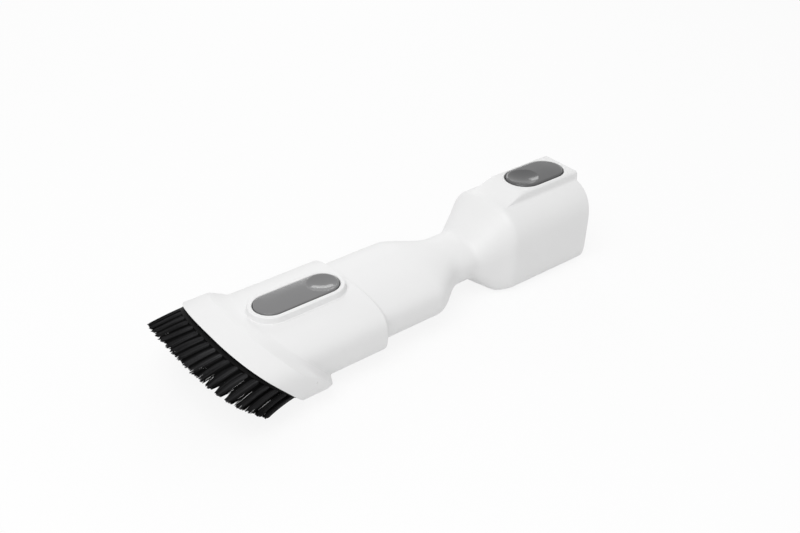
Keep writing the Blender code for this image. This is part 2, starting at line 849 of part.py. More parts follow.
straight_collar = SLOPE_FOOT + LIP_SLANT
collar = piece(
    "brush_collar",
    loft(
        "brush_collar",
        [
            flange_ring(0, FLANGE_EDGE / 2),
            flange_ring(FLANGE_EDGE),
            flange_ring(FLANGE_BAND - FLANGE_EDGE),
            flange_ring(FLANGE_BAND, FLANGE_EDGE / 3),
            collar_ring(SLOPE_FOOT, 0.0, 1.0),
            collar_ring(straight_collar),
            collar_ring(COLLAR_REAR - COLLAR_EDGE),
            collar_ring(COLLAR_REAR - COLLAR_EDGE / 3, COLLAR_EDGE / 3),
            collar_ring(COLLAR_REAR, COLLAR_EDGE),
            body_ring(COLLAR_REAR, -SLIDE_GAP),
            body_ring(straight_collar, -SLIDE_GAP),
            body_ring(COLLAR_FLARE_END, -SLIDE_GAP, 1.0),
            mouth_ring(MOUTH_DEPTH),
            mouth_ring(FLANGE_EDGE),
            flange_ring(FLANGE_EDGE, GROOVE_INNER),
            flange_ring(GROOVE_DEPTH, GROOVE_INNER),
            flange_ring(GROOVE_DEPTH, LIP_WALL),
            flange_ring(FLANGE_EDGE, LIP_WALL),
        ],
        True,
    ),
    WHITE,
    slide_frame,
)

boss_half_width = BUTTON_HALF_WIDTH + BUTTON_GAP + BOSS_WALL
boss_top = BUTTON_TOP - BOSS_DROP
boss_start = BUTTON_START - BUTTON_GAP - BOSS_WALL
boss_end = BUTTON_END + BUTTON_GAP + BOSS_WALL
boss = helper(
    "boss",
    flat_solid("boss", pill(boss_half_width, boss_start, boss_end, 12), LEDGE_Z, boss_top),
)
rounding = boss.modifiers.new("edges", "BEVEL")
rounding.width = BOSS_EDGE
rounding.segments = 2
rounding.limit_method = "ANGLE"
rounding.angle_limit = math.radians(60)
boolean(collar, boss, "UNION")
button_window = helper(
    "button_window",
    flat_solid(
        "button_window",
        pill(
            BUTTON_HALF_WIDTH + BUTTON_GAP, BUTTON_START - BUTTON_GAP, BUTTON_END + BUTTON_GAP
        ),
        LEDGE_Z,
        BUTTON_TOP + CUT_OVERRUN,
    ),
)
boolean(collar, button_window, "DIFFERENCE")
button_well = helper(
    "button_well",
    flat_solid(
        "button_well",
        pill(
            BUTTON_HALF_WIDTH + BUTTON_GAP - LEDGE_WIDTH,
            BUTTON_START + BUTTON_GAP,
            BUTTON_END - LEDGE_WIDTH,
        ),
        NOZZLE_TOP - CUT_OVERRUN,
        LEDGE_Z + CUT_OVERRUN / 2,
    ),
)
boolean(collar, button_well, "DIFFERENCE")
trunnion_half_length = boss_half_width - TRUNNION_COVER - PIECE_GAP
trunnion_socket = cutter(
    rod(
        "trunnion_socket",
        TRUNNION_RADIUS + PIECE_GAP,
        trunnion_half_length + PIECE_GAP,
        (0, BUTTON_PIVOT, TRUNNION_Z),
    )
)
boolean(collar, trunnion_socket, "DIFFERENCE")

# Collar button with trunnions and the tooth that holds the slide
button = piece(
    "collar_button",
    cap(
        "collar_button",
        BUTTON_HALF_WIDTH,
        BUTTON_START,
        BUTTON_END,
        BUTTON_BOTTOM,
        BUTTON_TOP,
        BUTTON_EDGE,
        BUTTON_CROWN,
    ),
    BUTTON_GREY,
    button_axis,
    25,
)
button_dish = cutter(
    dish(
        "button_dish",
        BUTTON_DISH_RADIUS,
        BUTTON_DISH_DEPTH,
        (0, BUTTON_END - BUTTON_HALF_WIDTH, BUTTON_TOP + BUTTON_CROWN / 2),
    )
)
boolean(button, button_dish, "DIFFERENCE")
trunnions = cutter(
    rod(
        "trunnions",
        TRUNNION_RADIUS,
        trunnion_half_length,
        (0, BUTTON_PIVOT, TRUNNION_Z),
    )
)
boolean(button, trunnions, "UNION")
tooth = cutter(
    box(
        "tooth",
        (-TOOTH_HALF_WIDTH, tooth_start, tooth_tip),
        (TOOTH_HALF_WIDTH, tooth_start + TOOTH_LENGTH, TRUNNION_Z),
    )
)
boolean(button, tooth, "UNION")

# Leaf spring, arched across the well under the button's dish
leaf_half_span = BUTTON_HALF_WIDTH + BUTTON_GAP - LEAF_REST
leaf_low = LEDGE_Z + PIECE_GAP
leaf_rise = LEDGE_DROP - 2 * PIECE_GAP - LEAF_THICKNESS
leaf_points = 8
leaf_under = []
for k in range(leaf_points + 1):
    across = mix(-1, 1, k / leaf_points)
    leaf_under.append((leaf_half_span * across, leaf_low + leaf_rise * (1 - across**2)))
leaf_over = [(x, z + LEAF_THICKNESS) for x, z in reversed(leaf_under)]
# Turns the front outline from X, Y into X, Z.
FACING = Matrix(((1, 0, 0, 0), (0, 0, 1, 0), (0, 1, 0, 0), (0, 0, 0, 1)))
piece(
    "button_leaf_spring",
    flat_solid(
        "button_leaf_spring",
        leaf_under + leaf_over,
        LEAF_START,
        LEAF_START + LEAF_LENGTH,
        FACING,
    ),
    STEEL,
    slide_frame,
)

# Brush ring in the flange groove, lower where the tufts stand
ring_rear = GROOVE_DEPTH - PIECE_GAP
ring_front = ring_rear - RING_DEPTH
slice_rear = ring_front - PIECE_GAP
slice_front = slice_rear - SLICE_DEPTH
bare_front = ring_front - BARE_RING_STEP
brush_outer = LIP_WALL + PIECE_GAP
brush_inner = GROOVE_INNER - PIECE_GAP


def ring_front_edge(inset):
    """The front edge of the brush ring, set back along the tufted arc."""
    edges = zip(flange_ring(ring_front, inset), flange_ring(bare_front, inset))
    points = []
    for k, (behind, ahead) in enumerate(edges):
        angle = 2 * math.pi * (k + 0.5) / RING_POINTS
        from_top = abs((angle + math.pi / 2) % (2 * math.pi) - math.pi)
        tufted = from_top < TUFT_END_ANGLE - math.pi / 2 + TUFT_CLEAR_ANGLE
        points.append(behind if tufted else ahead)
    return points


piece(
    "brush_ring",
    loft(
        "brush_ring",
        [
            ring_front_edge(brush_outer),
            ring_front_edge(brush_inner),
            flange_ring(ring_rear, brush_inner),
            flange_ring(ring_rear, brush_outer),
        ],
        True,
    ),
    BACKING_BLACK,
    slide_frame,
)


# Bristle tufts over the upper arc of the lip
def brush_point(angle, inset):
    """A point of the groove at an angle, with its set back from the lip."""
    x, z = rounded(
        angle,
        FLANGE_HALF_WIDTH - inset,
        FLANGE_TOP - inset,
        inset,
        FLANGE_POWER,
        FLANGE_POWER,
    )
    return Vector((x, lip_set_back(z), z))


def arc_table(inset, count=400):
    """Angles and running lengths along the tufted arc."""
    angles = [mix(TUFT_START_ANGLE, TUFT_END_ANGLE, k / count) for k in range(count + 1)]
    lengths = [0.0]
    for first, second in zip(angles, angles[1:]):
        step = brush_point(second, inset) - brush_point(first, inset)
        lengths.append(lengths[-1] + step.length)
    return angles, lengths


middle_inset = (brush_outer + brush_inner) / 2
foremost_root = lip_set_back(FLANGE_TOP - middle_inset)
arc_angles, arc_lengths = arc_table(middle_inset)
arc_length = arc_lengths[-1]
tuft_pitch = arc_length / TUFTS


def angle_at(run):
    """The angle at a running length along the arc."""
    run = min(max(run, 0), arc_length)
    k = 1
    while k < len(arc_lengths) - 1 and arc_lengths[k] < run:
        k += 1
    before, after = arc_lengths[k - 1], arc_lengths[k]
    return mix(arc_angles[k - 1], arc_angles[k], (run - before) / (after - before))


def tuft_slice(name, start, end):
    """The slice of backing that carries one tuft."""
    rings = []
    for run in steps(start, end, 3):
        angle = angle_at(run)
        outer, inner = brush_point(angle, brush_outer), brush_point(angle, brush_inner)
        front = Vector((0, slice_front, 0))
        rear = Vector((0, slice_rear, 0))
        rings.append([outer + front, inner + front, inner + rear, outer + rear])
    return loft(name, rings)


def strand(bm, root, tip, bend, radius):
    """A thin bristle from its sunk root to its tip, with one bend."""
    middle = (root + tip) / 2 + bend
    along = (tip - root).normalized()
    side = along.cross(Vector((0, 0, 1))).normalized()
    up = side.cross(along)
    rows = []
    for place, size in ((root, radius), (middle, radius), (tip, radius * TIP_SHARE)):
        row = []
        for k in range(STRAND_SIDES):
            angle = 2 * math.pi * k / STRAND_SIDES
            offset = (side * math.cos(angle) + up * math.sin(angle)) * size
            row.append(bm.verts.new(place + offset))
        rows.append(row)
    bm.faces.new(list(reversed(rows[0])))
    bm.faces.new(rows[-1])
    for first, second in zip(rows, rows[1:]):
        for i in range(STRAND_SIDES):
            j = (i + 1) % STRAND_SIDES
            bm.faces.new((first[i], first[j], second[j], second[i]))


def tuft_strands(name, number, start, end):
    """The strands of one tuft, in rows that never cross."""
    chance = random.Random(number)
    bm = bmesh.new()
    edge = 2 * STRAND_RADIUS
    centre = (start + end) / 2
    full = (end - start) * TUFT_FULL_SHARE
    pitch = (full - edge) / (TUFT_COLUMNS - 1)
    lean = chance.uniform(-1, 1)
    for row in range(TUFT_ROWS):
        row_share = (row + 0.5) / TUFT_ROWS
        inset = mix(brush_outer + edge / 2, brush_inner - edge / 2, row_share)
        for column in range(TUFT_COLUMNS):
            run = centre + pitch * (column - (TUFT_COLUMNS - 1) / 2)
            angle = angle_at(run)
            root = brush_point(angle, inset)
            root.y += slice_front + STRAND_SINK
            outward = Vector((root.x, 0, root.z - FLANGE_MIDDLE)).normalized()
            tangent = Vector((-outward.z, 0, outward.x))
            fan = (run - centre) / full
            reach = BRISTLE_REACH - STRAND_UNEVEN * chance.random()
            across_share = min(abs(root.x) / FLANGE_HALF_WIDTH, 1)
            drop = mix(DROOP_MIDDLE, DROOP_SIDE, across_share**2)
            tip = brush_point(angle, inset)
            tip.y -= foremost_root + reach
            tip.z -= drop
            tip.x += tip.x * SPLAY_SHARE
            tip += tangent * (lean * STRAND_LEAN - fan * STRAND_PINCH)
            tip += tangent * chance.uniform(-1, 1) * pitch * STRAY_SHARE
            tip += outward * (0.5 - row_share) * STRAND_PINCH
            bend = Vector((0, 0, drop / 4))
            strand(bm, root, tip, bend, STRAND_RADIUS)
    bmesh.ops.recalc_face_normals(bm, faces=bm.faces)
    mesh = bpy.data.meshes.new(name)
    bm.to_mesh(mesh)
    bm.free()
    return mesh


for number in range(TUFTS):
    tuft_start = tuft_pitch * number + TUFT_GAP / 2
    tuft_end = tuft_pitch * (number + 1) - TUFT_GAP / 2
    label = f"tuft_{number + 1:02d}"
    tuft = piece(label, tuft_slice(label, tuft_start, tuft_end), BRISTLE_BLACK, slide_frame)
    strands = helper(
        f"{label}_strands", tuft_strands(f"{label}_strands", number, tuft_start, tuft_end)
    )
    boolean(tuft, strands, "UNION")

print(f"{TUFTS * TUFT_ROWS * TUFT_COLUMNS} strands in {TUFTS} tufts")
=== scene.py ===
"""Looks of the two-in-one dusting brush nozzle.

Each operator of this file makes one piece of the nozzle, or a group of like
pieces, in the place where the packed model has it. The last one makes the
stage. Lengths are in metres, and places along the tool are measured from the
front of the brush lip.
"""

import math
import random

import bmesh
import bpy
from bpy.props import FloatProperty, FloatVectorProperty, IntProperty, PointerProperty
from mathutils import Matrix, Vector


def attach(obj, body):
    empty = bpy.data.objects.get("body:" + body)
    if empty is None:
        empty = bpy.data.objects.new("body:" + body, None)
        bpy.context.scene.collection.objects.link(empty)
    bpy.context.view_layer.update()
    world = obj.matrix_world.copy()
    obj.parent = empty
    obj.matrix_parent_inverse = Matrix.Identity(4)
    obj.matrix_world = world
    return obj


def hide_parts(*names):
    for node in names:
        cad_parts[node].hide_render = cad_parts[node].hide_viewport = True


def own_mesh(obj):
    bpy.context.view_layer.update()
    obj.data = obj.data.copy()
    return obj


bl_info = {
    "name": "Dusting brush nozzle",
    "version": (1, 0, 0),
    "blender": (4, 5, 0),
    "location": "View3D > Sidebar > Brush nozzle",
    "description": "Builds the pieces of a two-in-one dusting brush nozzle and its stage",
    "category": "Object",
}

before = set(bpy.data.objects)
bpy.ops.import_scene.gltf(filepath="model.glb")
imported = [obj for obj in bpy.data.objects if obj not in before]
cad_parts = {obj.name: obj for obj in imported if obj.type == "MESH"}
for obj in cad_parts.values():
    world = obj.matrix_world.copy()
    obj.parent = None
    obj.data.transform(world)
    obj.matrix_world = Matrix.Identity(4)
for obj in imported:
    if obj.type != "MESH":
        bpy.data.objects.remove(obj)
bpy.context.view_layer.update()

# Points of half a section: level top, platform wall and flank
TOP_POINTS = 14
WALL_POINTS = 18
SIDE_POINTS = 56

# Rings along the body, outside and inside
SHOULDER_RINGS = 22
FUNNEL_RINGS = 36
RAMP_RINGS = 20
HOUSING_RINGS = 8
INNER_SHOULDER_RINGS = 12
INNER_FUNNEL_RINGS = 14

# Rings of the flange's slope and places of the rings on a cap's crown
SLOPE_RINGS = 18
CROWN_PARTS = (0.15, 0.35, 0.55, 0.75, 0.97)

# Pieces of a coil's turn, of a leaf's length and of a bristle's path
TURN_PIECES = 28
LEAF_PIECES = 24
PATH_PIECES = 5

# Angles of a bristle's four corners
STRAND_CORNERS = (0.4, 1.97, 3.54, 5.11)

# Past this many bends above the lowest value, a value needs no easing
FAR_ABOVE = 12

# How far a cutting shape reaches past a surface, and how close points merge
CUT_REACH = 0.003
WELD = 1e-7

# Film width in millimetres and nearest place that the camera sees in metres
SENSOR_WIDTH = 36
CLIP_START = 0.01


# Kinds of settings


def length(name, default, description):
    return FloatProperty(
        name=name, description=description, default=default, precision=5, unit="LENGTH"
    )


def turn(name, degrees, description):
    return FloatProperty(
        name=name, description=description, default=math.radians(degrees), unit="ROTATION"
    )


def share(name, default, description):
    return FloatProperty(
        name=name, description=description, default=default, min=0, max=1, subtype="FACTOR"
    )


def number(name, default, description):
    return FloatProperty(name=name, description=description, default=default, precision=3)


def count(name, default, description):
    return IntProperty(name=name, description=description, default=default, min=1)


def place(name, default, description):
    return FloatVectorProperty(
        name=name,
        description=description,
        default=default,
        precision=5,
        subtype="TRANSLATION",
        unit="LENGTH",
    )


def colour(name, default, description):
    return FloatVectorProperty(
        name=name,
        description=description,
        default=(*default, 1),
        size=4,
        min=0,
        max=1,
        subtype="COLOR",
    )


class NozzleSizes(bpy.types.PropertyGroup):
    """Tube, neck and connector housing"""

    recess: length("Recess", 0.0058, "Mouth of the tube behind the brush lip")
    half_width: length("Half width", 0.0247, "Half the width of the tube")
    top: length("Top", 0.0268, "Height of the tube's top")
    bottom: length("Bottom", 0.0044, "Height of the tube's underside")
    power: number("Squareness", 2.95, "Squareness of the tube's section")
    wall: length("Wall", 0.0019, "Wall of the tube")
    shoulder_start: length("Shoulder start", 0.0965, "Where the tube starts to narrow")
    shoulder_end: length("Shoulder end", 0.1180, "Where the tube has narrowed to the neck")
    neck_half_width: length("Neck half width", 0.0137, "Half the width of the neck")
    neck_top: length("Neck top", 0.0257, "Height of the neck's top")
    neck_bottom: length("Neck bottom", 0.0071, "Height of the neck's underside")
    neck_power: number("Neck squareness", 2.45, "Squareness of the neck's section")
    funnel_start: length("Funnel start", 0.1255, "Where the neck starts to open")
    funnel_end: length("Funnel end", 0.1448, "Where the housing has its full size")
    floor_start: length("Floor start", 0.1245, "Where the underside starts to drop")
    floor_end: length("Floor end", 0.1386, "Where the underside has dropped")
    funnel_round: share("Funnel rounding", 0.20, "Share of the funnel's height in each round")
    housing_half_width: length("Housing half width", 0.0216, "Half the width of the housing")
    housing_top: length("Housing top", 0.0402, "Height of the housing's crest")
    housing_power: number("Housing squareness", 2.8, "Squareness of the upper half")
    floor_power: number("Housing floor squareness", 7.0, "Squareness of the lower half")
    housing_wall: length("Housing wall", 0.0025, "Wall of the housing")
    rear: length("Rear", 0.1900, "Rear end of the housing at half its height")
    lean: length("Lean", 0.0020, "Top of the rear rim behind its foot")
    seat: length("Seat", 0.1500, "Where the socket lining stops")
    seat_step: length("Seat step", 0.0013, "Step that stops the socket lining")
    edge: length("Edge", 0.0007, "Rounding of the open ends")
    platform_half_width: length("Platform half width", 0.0107, "Half the platform's width")
    platform_top: length("Platform top", 0.0434, "Height of the platform")
    platform_edge: length("Platform edge", 0.0015, "Rounding of the platform's long edges")
    platform_foot: length("Platform foot", 0.0010, "Fillet at the platform's foot")
    platform_brow: share("Platform brow", 0.3, "Share of the platform's rise in its upper round")
    platform_wall: share("Platform wall", 0.72, "Share of the rise above the foot's fillet")
    platform_share: share("Platform share", 0.8, "Most of a section that the platform takes")
    ramp_start: length("Ramp start", 0.1440, "Where the platform starts to rise")
    ramp_end: length("Ramp end", 0.1572, "Where the platform is level")
    track_half_width: length("Track half width", 0.0032, "Half the width of the tooth's track")
    track_start: length("Track start", 0.0233, "Front of the tooth's track")
    track_end: length("Track end", 0.0526, "Rear of the tooth's track")
    track_floor: length("Track floor", 0.0257, "Height of the track's floor")


class CollarSizes(bpy.types.PropertyGroup):
    """Sliding collar with its flange and its boss"""

    rear: length("Rear", 0.0661, "Rear end of the collar")
    half_width: length("Half width", 0.0285, "Half the width of the collar")
    top: length("Top", 0.0284, "Height of the collar's top")
    bottom: length("Bottom", 0.0021, "Height of the collar's underside")
    power: number("Squareness", 3.05, "Squareness of the collar's section")
    edge: length("Edge", 0.0007, "Rounding of the rear edge")
    slide_gap: length("Slide gap", 0.00035, "Gap between collar and tube")
    flare_end: length("Flare end", 0.0180, "Where the mouth meets the bore")
    flange_half_width: length("Flange half width", 0.0340, "Half the width of the flange")
    flange_top: length("Flange top", 0.0300, "Height of the flange")
    flange_power: number("Flange squareness", 3.1, "Squareness of the flange's section")
    band: length("Band", 0.0124, "Length of the flange's level band")
    slope: length("Slope", 0.0050, "Length of the slope behind the band")
    slope_brow: share("Slope brow", 0.65, "How much of the slope's fall comes at its start")
    side_lag: share("Side lag", 0.42, "Share of the slope before its sides draw in")
    lag_end: share("Lag end", 0.5, "Share of the height up to which the sides draw in late")
    lag_blend: share("Lag blend", 0.4, "Share of the height over which that stops")
    flange_edge: length("Flange edge", 0.0006, "Rounding of the lip")
    slant: length("Slant", 0.0270, "Lower lip behind the upper lip")
    slant_power: number("Slant power", 0.90, "How the slant runs from top to bottom")
    lip_wall: length("Lip wall", 0.0012, "Lip outside the brush groove")
    mouth_half_width: length("Mouth half width", 0.0303, "Half the width of the mouth")
    mouth_floor: length("Mouth floor", 0.0031, "Height of the mouth's floor")
    mouth_power: number("Mouth squareness", 3.0, "Squareness of the mouth's section")
    mouth_depth: length("Mouth depth", 0.0065, "Depth of the mouth")
    groove_width: length("Groove width", 0.0013, "Width of the brush groove")
    groove_depth: length("Groove depth", 0.0056, "Depth of the brush groove")
    boss_wall: length("Boss wall", 0.0021, "Width of the boss's rim round the button")
    boss_drop: length("Boss drop", 0.0003, "Rim of the boss below the button")
    boss_edge: length("Boss edge", 0.0006, "Rounding of the boss's rim")
    boss_slope: length("Boss slope", 0.0003, "Foot of the boss outside its rim")
    boss_foot: length("Boss foot", 0.0007, "Fillet at the foot of the boss")
    ledge: length("Ledge", 0.0280, "Height of the ledge under the button")
    ledge_width: length("Ledge width", 0.0022, "Width of the ledge under the button")
    gate_mark: place("Gate mark", (0.0340, 0.0276, 0.0135), "Place of the gate mark")
    gate_radius: length("Gate mark radius", 0.00035, "Radius of the gate mark")


class ButtonSizes(bpy.types.PropertyGroup):
    """Rocking button of the collar"""

    start: length("Start", 0.0218, "Front end of the button")
    size: length("Length", 0.0389, "Length of the button")
    half_width: length("Half width", 0.0073, "Half the width of the button")
    top: length("Top", 0.0312, "Height of the button")
    height: length("Height", 0.0021, "Thickness of the button")
    edge: length("Edge", 0.0006, "Rounding of the button's rim")
    crown: length("Crown", 0.00015, "Rise towards the button's middle")
    gap: length("Gap", 0.00035, "Gap round the button")
    rim_edge: length("Rim edge", 0.00045, "Rounding of the rim round the button")
    dish_radius: length("Dish radius", 0.0064, "Radius of the thumb dish")
    dish_depth: length("Dish depth", 0.0011, "Depth of the thumb dish")
    pivot: length("Pivot", 0.0440, "Rocking axis along the tool")
    pivot_height: length("Pivot height", 0.02975, "Height of the rocking axis")
    trunnion: length("Trunnion", 0.0005, "Radius of the trunnions")
    trunnion_reach: length("Trunnion reach", 0.00865, "Half the length over the trunnions")
    tooth_start: length("Tooth start", 0.0237, "Front of the tooth that holds the slide")
    tooth_size: length("Tooth length", 0.0025, "Length of the tooth")
    tooth_half_width: length("Tooth half width", 0.0028, "Half the width of the tooth")
    tooth_tip: length("Tooth tip", 0.0260, "Height of the tooth's tip")


class KeySizes(bpy.types.PropertyGroup):
    """Release key of the connector"""

    start: length("Start", 0.1580, "Front end of the key")
    size: length("Length", 0.0303, "Length of the key")
    half_width: length("Half width", 0.0085, "Half the width of the key")
    top: length("Top", 0.0438, "Height of the key")
    height: length("Height", 0.0042, "Thickness of the key")
    edge: length("Edge", 0.0010, "Rounding of the key's rim")
    crown: length("Crown", 0.0003, "Rise towards the key's middle")
    gap: length("Gap", 0.00060, "Gap round the key")
    rim_edge: length("Rim edge", 0.00045, "Rounding of the rim round the key")
    dish_radius: length("Dish radius", 0.0072, "Radius of the finger dish")
    dish_depth: length("Dish depth", 0.0013, "Depth of the finger dish")
    dish_setback: length("Dish setback", 0.0078, "Middle of the dish behind the front end")
    pin: length("Pin", 0.0008, "Radius of the pivot pin")
    pin_place: length("Pin place", 0.1732, "Pivot pin along the tool")
    pin_height: length("Pin height", 0.0412, "Height of the pivot pin")
    pin_reach: length("Pin reach", 0.0101, "Half the length of the pivot pin")


class SocketSizes(bpy.types.PropertyGroup):
    """Lining, seal ring and springs"""

    half_width: length("Half width", 0.0152, "Half the width of the socket")
    top: length("Top", 0.0310, "Height of the socket's top")
    bottom: length("Bottom", 0.0046, "Height of the socket's floor")
    power: number("Squareness", 3.0, "Squareness of the socket's section")
    wall: length("Wall", 0.0017, "Wall of the lining")
    plate: length("Plate", 0.0018, "Thickness of the lining's end plates")
    recess: length("Recess", 0.0006, "Rear plate behind the housing's rim")
    mouth_edge: length("Mouth edge", 0.0005, "Chamfer of the socket's mouth")
    throat: length("Throat", 0.0019, "Step at the end of the socket")
    throat_length: length("Throat length", 0.0050, "Length of the throat")
    ring_width: length("Ring width", 0.0013, "Width of the seal ring")
    ring_depth: length("Ring depth", 0.0024, "Depth of the seal ring")
    ring_lip: length("Ring lip", 0.0005, "Lip of the seal ring")
    ring_lip_start: share("Ring lip start", 0.8, "Share of the ring's depth before its lip")
    seat_gap: length("Seat gap", 0.0003, "Gap between seated pieces")
    slot_start: length("Slot start", 0.1801, "Front of the latch slot")
    slot_end: length("Slot end", 0.1861, "Rear of the latch slot")
    slot_half_width: length("Slot half width", 0.0052, "Half the width of the latch slot")
    coil_place: length("Coil place", 0.1626, "Return coil along the tool")
    coil_radius: length("Coil radius", 0.0019, "Radius of the return coil")
    coil_wire: length("Coil wire", 0.00025, "Radius of the coil's wire")
    coil_turns: count("Coil turns", 5, "Turns of the return coil")
    peg: length("Peg", 0.0012, "Radius and height of the coil's peg")
    leaf_start: length("Leaf start", 0.0525, "Front of the leaf spring")
    leaf_size: length("Leaf length", 0.0026, "Leaf spring along the tool")
    leaf_reach: length("Leaf reach", 0.00665, "Half the span of the leaf spring")
    leaf_low: length("Leaf low", 0.0283, "Height of the leaf's ends")
    leaf_rise: length("Leaf rise", 0.0003, "Rise of the leaf's middle")
    leaf_thickness: length("Leaf thickness", 0.0002, "Thickness of the leaf")


class BristleSizes(bpy.types.PropertyGroup):
    """Tufts of bristles and their backing"""

    tufts: count("Tufts", 23, "Tufts along the lip")
    strands: count("Strands", 120, "Bristles in each tuft")
    clumps: count("Clumps", 4, "Clumps that the bristles of a tuft lean into")
    start: turn("Start", -18, "Angle of the first tuft")
    end: turn("End", 198, "Angle past the last tuft")
    clear: turn("Clear", 3, "Backing past the tufts")
    reach: length("Reach", 0.0152, "Tips in front of the foremost root")
    uneven: length("Uneven", 0.0017, "Short bristles behind long ones")
    radius: length("Radius", 0.00013, "Radius of a bristle")
    front: length("Backing front", 0.0014, "Backing in front of the lip")
    sink: length("Sink", 0.0002, "Roots behind the backing's front")
    root_round: length("Root rounding", 0.0013, "Middle roots behind the outer ones")
    low_front: length("Low backing front", 0.0008, "Lower backing behind the lip")
    rear: length("Backing rear", 0.0053, "Rear of the backing behind the lip")
    side_gap: length("Backing gap", 0.0003, "Gap beside the backing")
    root_share: share("Root share", 0.68, "Share of the pitch that a tuft fills at its root")
    tip_share: number("Tip share", 0.80, "Width of a tuft's tip for its pitch")
    under_share: share("Under share", 0.45, "Share of the bristles in the lower, wider rows")
    under_root_share: number("Under root share", 1.15, "Width of the lower rows' roots")
    under_tip_share: number("Under tip share", 1.12, "Width of the lower rows' tips")
    low_in_groove: length("Low in groove", 0.0002, "Bristles below the groove's outer side")
    upper_row: number("Upper row", -0.15, "Place of the uppermost row across the groove")
    middle_row: number("Middle row", 0.5, "Place of the row between upper and lower bristles")
    lower_row: number("Lower row", 0.95, "Place of the lowermost row across the groove")
    row_arch: share("Row arch", 0.6, "How far a tuft's outer roots sink to the middle row")
    lean: number("Lean", 0.08, "Usual lean of a tuft to one side, for its pitch")
    clump_shift: number("Clump shift", 0.07, "Uneven places of the clumps across a tuft")
    clump_height: number("Clump height", 0.35, "Clumps above or below the middle row")
    clump_uneven: share("Clump unevenness", 0.55, "Share of the unevenness between clumps")
    strand_uneven: share("Strand unevenness", 0.6, "Share of it between bristles")
    least_pull: share("Least pull", 0.25, "Least lean of a bristle to its clump")
    most_pull: share("Most pull", 0.8, "Most lean of a bristle to its clump")
    under_pull: share("Under pull", 0.3, "Most lean of a bristle in the lower rows")
    depth_pull: share("Depth pull", 0.8, "Share of the lean that acts across the groove")
    parting: share("Parting", 0.42, "How much narrower the tips are where they part")
    parted: share("Parted", 0.239, "Place along the arc where the tips part")
    parted_width: share("Parted width", 0.10, "Half the share of the arc where they part")
    fan_up: length("Fan up", 0.0003, "Tips above the groove's outer side")
    fan_down: length("Fan down", 0.0004, "Tips below the groove's inner side")
    sway_along: length("Sway along", 0.00012, "Usual bend of a bristle along the lip")
    sway_out: length("Sway out", 0.00008, "Usual bend of a bristle away from the tube")
    droop_middle: length("Middle droop", 0.0012, "Droop of the middle tufts")
    droop_side: length("Side droop", 0.0026, "Droop of the outer tufts")
    far_straight: share("Far straightness", 0.8, "How much of its arch the -X end loses")
    worn: length("Worn", 0.0028, "Shortening of the tufts at the +X end")
    far_worn: length("Far worn", 0.0008, "Shortening of the tufts at the -X end")
    lifted: length("Lifted", 0.0008, "Rise of the tufts at the +X end")
    far_sunk: length("Far sunk", 0.0012, "Droop of the tufts at the -X end")
    splay: share("Splay", 0.07, "Outward lean of the outer tufts")
    off_nozzle: length("Off nozzle", 0.0003, "Bristles above the nozzle that slides under them")
    bend: length("Bend", 0.0005, "How gently they rise over it")
    taper: share("Taper", 0.72, "Share of the radius that is left at the tip")
    tone_spread: share("Tone spread", 0.5, "Lighter and darker bristles")
    clump_tone: share("Clump tone", 0.45, "Lighter and darker clumps")
    # Painted shade: the lower rows are darkened to stand in for the shadow that the upper rows
    # cast on them
    under_painted_shade: share("Under tone", 0.05, "Tone of the lower rows")
    upper_tone: number("Upper tone", 1.15, "Tone in the middle of a tuft")
    # Painted shade between tufts: the outer bristles of each tuft are darkened
    edge_painted_shade: share("Edge fade", 0.9, "Darker outer bristles of a tuft")
    # Painted shade: the tufts at the +X end are darkened
    near_painted_shade: share("Near fade", 0.25, "Darker tufts at the +X end")
    root_tone: number("Root tone", 1.35, "Tone of a bristle's root for its middle")
    tip_tone: number("Tip tone", 0.85, "Tone of a bristle's tip for its middle")


class Finishes(bpy.types.PropertyGroup):
    """Colours of the materials"""

    white: colour("White plastic", (0.79, 0.79, 0.79), "Shell, collar and flange")
    lining: colour("Lining plastic", (0.66, 0.66, 0.66), "Lining of the socket")
    button: colour("Button plastic", (0.172, 0.172, 0.174), "Button of the collar")
    key: colour("Key plastic", (0.086, 0.086, 0.088), "Release key")
    latch: colour("Latch plastic", (0.05, 0.05, 0.05), "Latch under the key")
    rubber: colour("Rubber", (0.03, 0.03, 0.03), "Seal ring of the socket")
    bristle: colour("Bristle nylon", (0.0185, 0.0185, 0.0192), "Bristles")
    backing: colour("Backing plastic", (0.001, 0.001, 0.001), "Backing of the bristles")
    steel: colour("Steel", (0.20, 0.20, 0.205), "Pin and springs")
    floor: colour("Floor", (0.86, 0.86, 0.86), "Floor")


class StageSizes(bpy.types.PropertyGroup):
    """Camera, lamps and floor"""

    azimuth: turn("Azimuth", 52.221, "Camera round the tool")
    elevation: turn("Elevation", 32.850, "Camera above the floor")
    distance: length("Distance", 0.43072, "Camera to the point it looks at")
    aim: place("Aim", (-0.003667, 0.008914, 0.0200), "Point that the camera looks at")
    lens: number("Lens", 43.908, "Focal length in millimetres")
    world: number("World light", 0.64, "Even light from all round")
    overhead: number("Overhead lamp", 4.4, "Power of the overhead lamp in watts")
    overhead_place: place("Overhead place", (0.20, -0.42, 0.84), "Place of the overhead lamp")
    overhead_aim: place("Overhead aim", (0, 0, 0.02), "Point that the overhead lamp faces")
    overhead_size: length("Overhead size", 0.7, "Width and height of the overhead lamp")
    rear: number("Rear lamp", 0.48, "Power of the lamp behind the tool in watts")
    rear_place: place("Rear place", (-0.608, 0.338, 0.335), "Place of the rear lamp")
    rear_aim: place("Rear aim", (0, -0.03, 0.03), "Point that the rear lamp faces")
    rear_width: length("Rear width", 0.32, "Width of the rear lamp")
    rear_height: length("Rear height", 0.18, "Height of the rear lamp")
    floor_reach: length("Floor reach", 3, "Floor from the tool to each side")
    floor_drop: length("Floor drop", 0.0002, "Floor below the tool")
    glow: share("Floor glow", 0.86, "White that the camera sees in the floor")


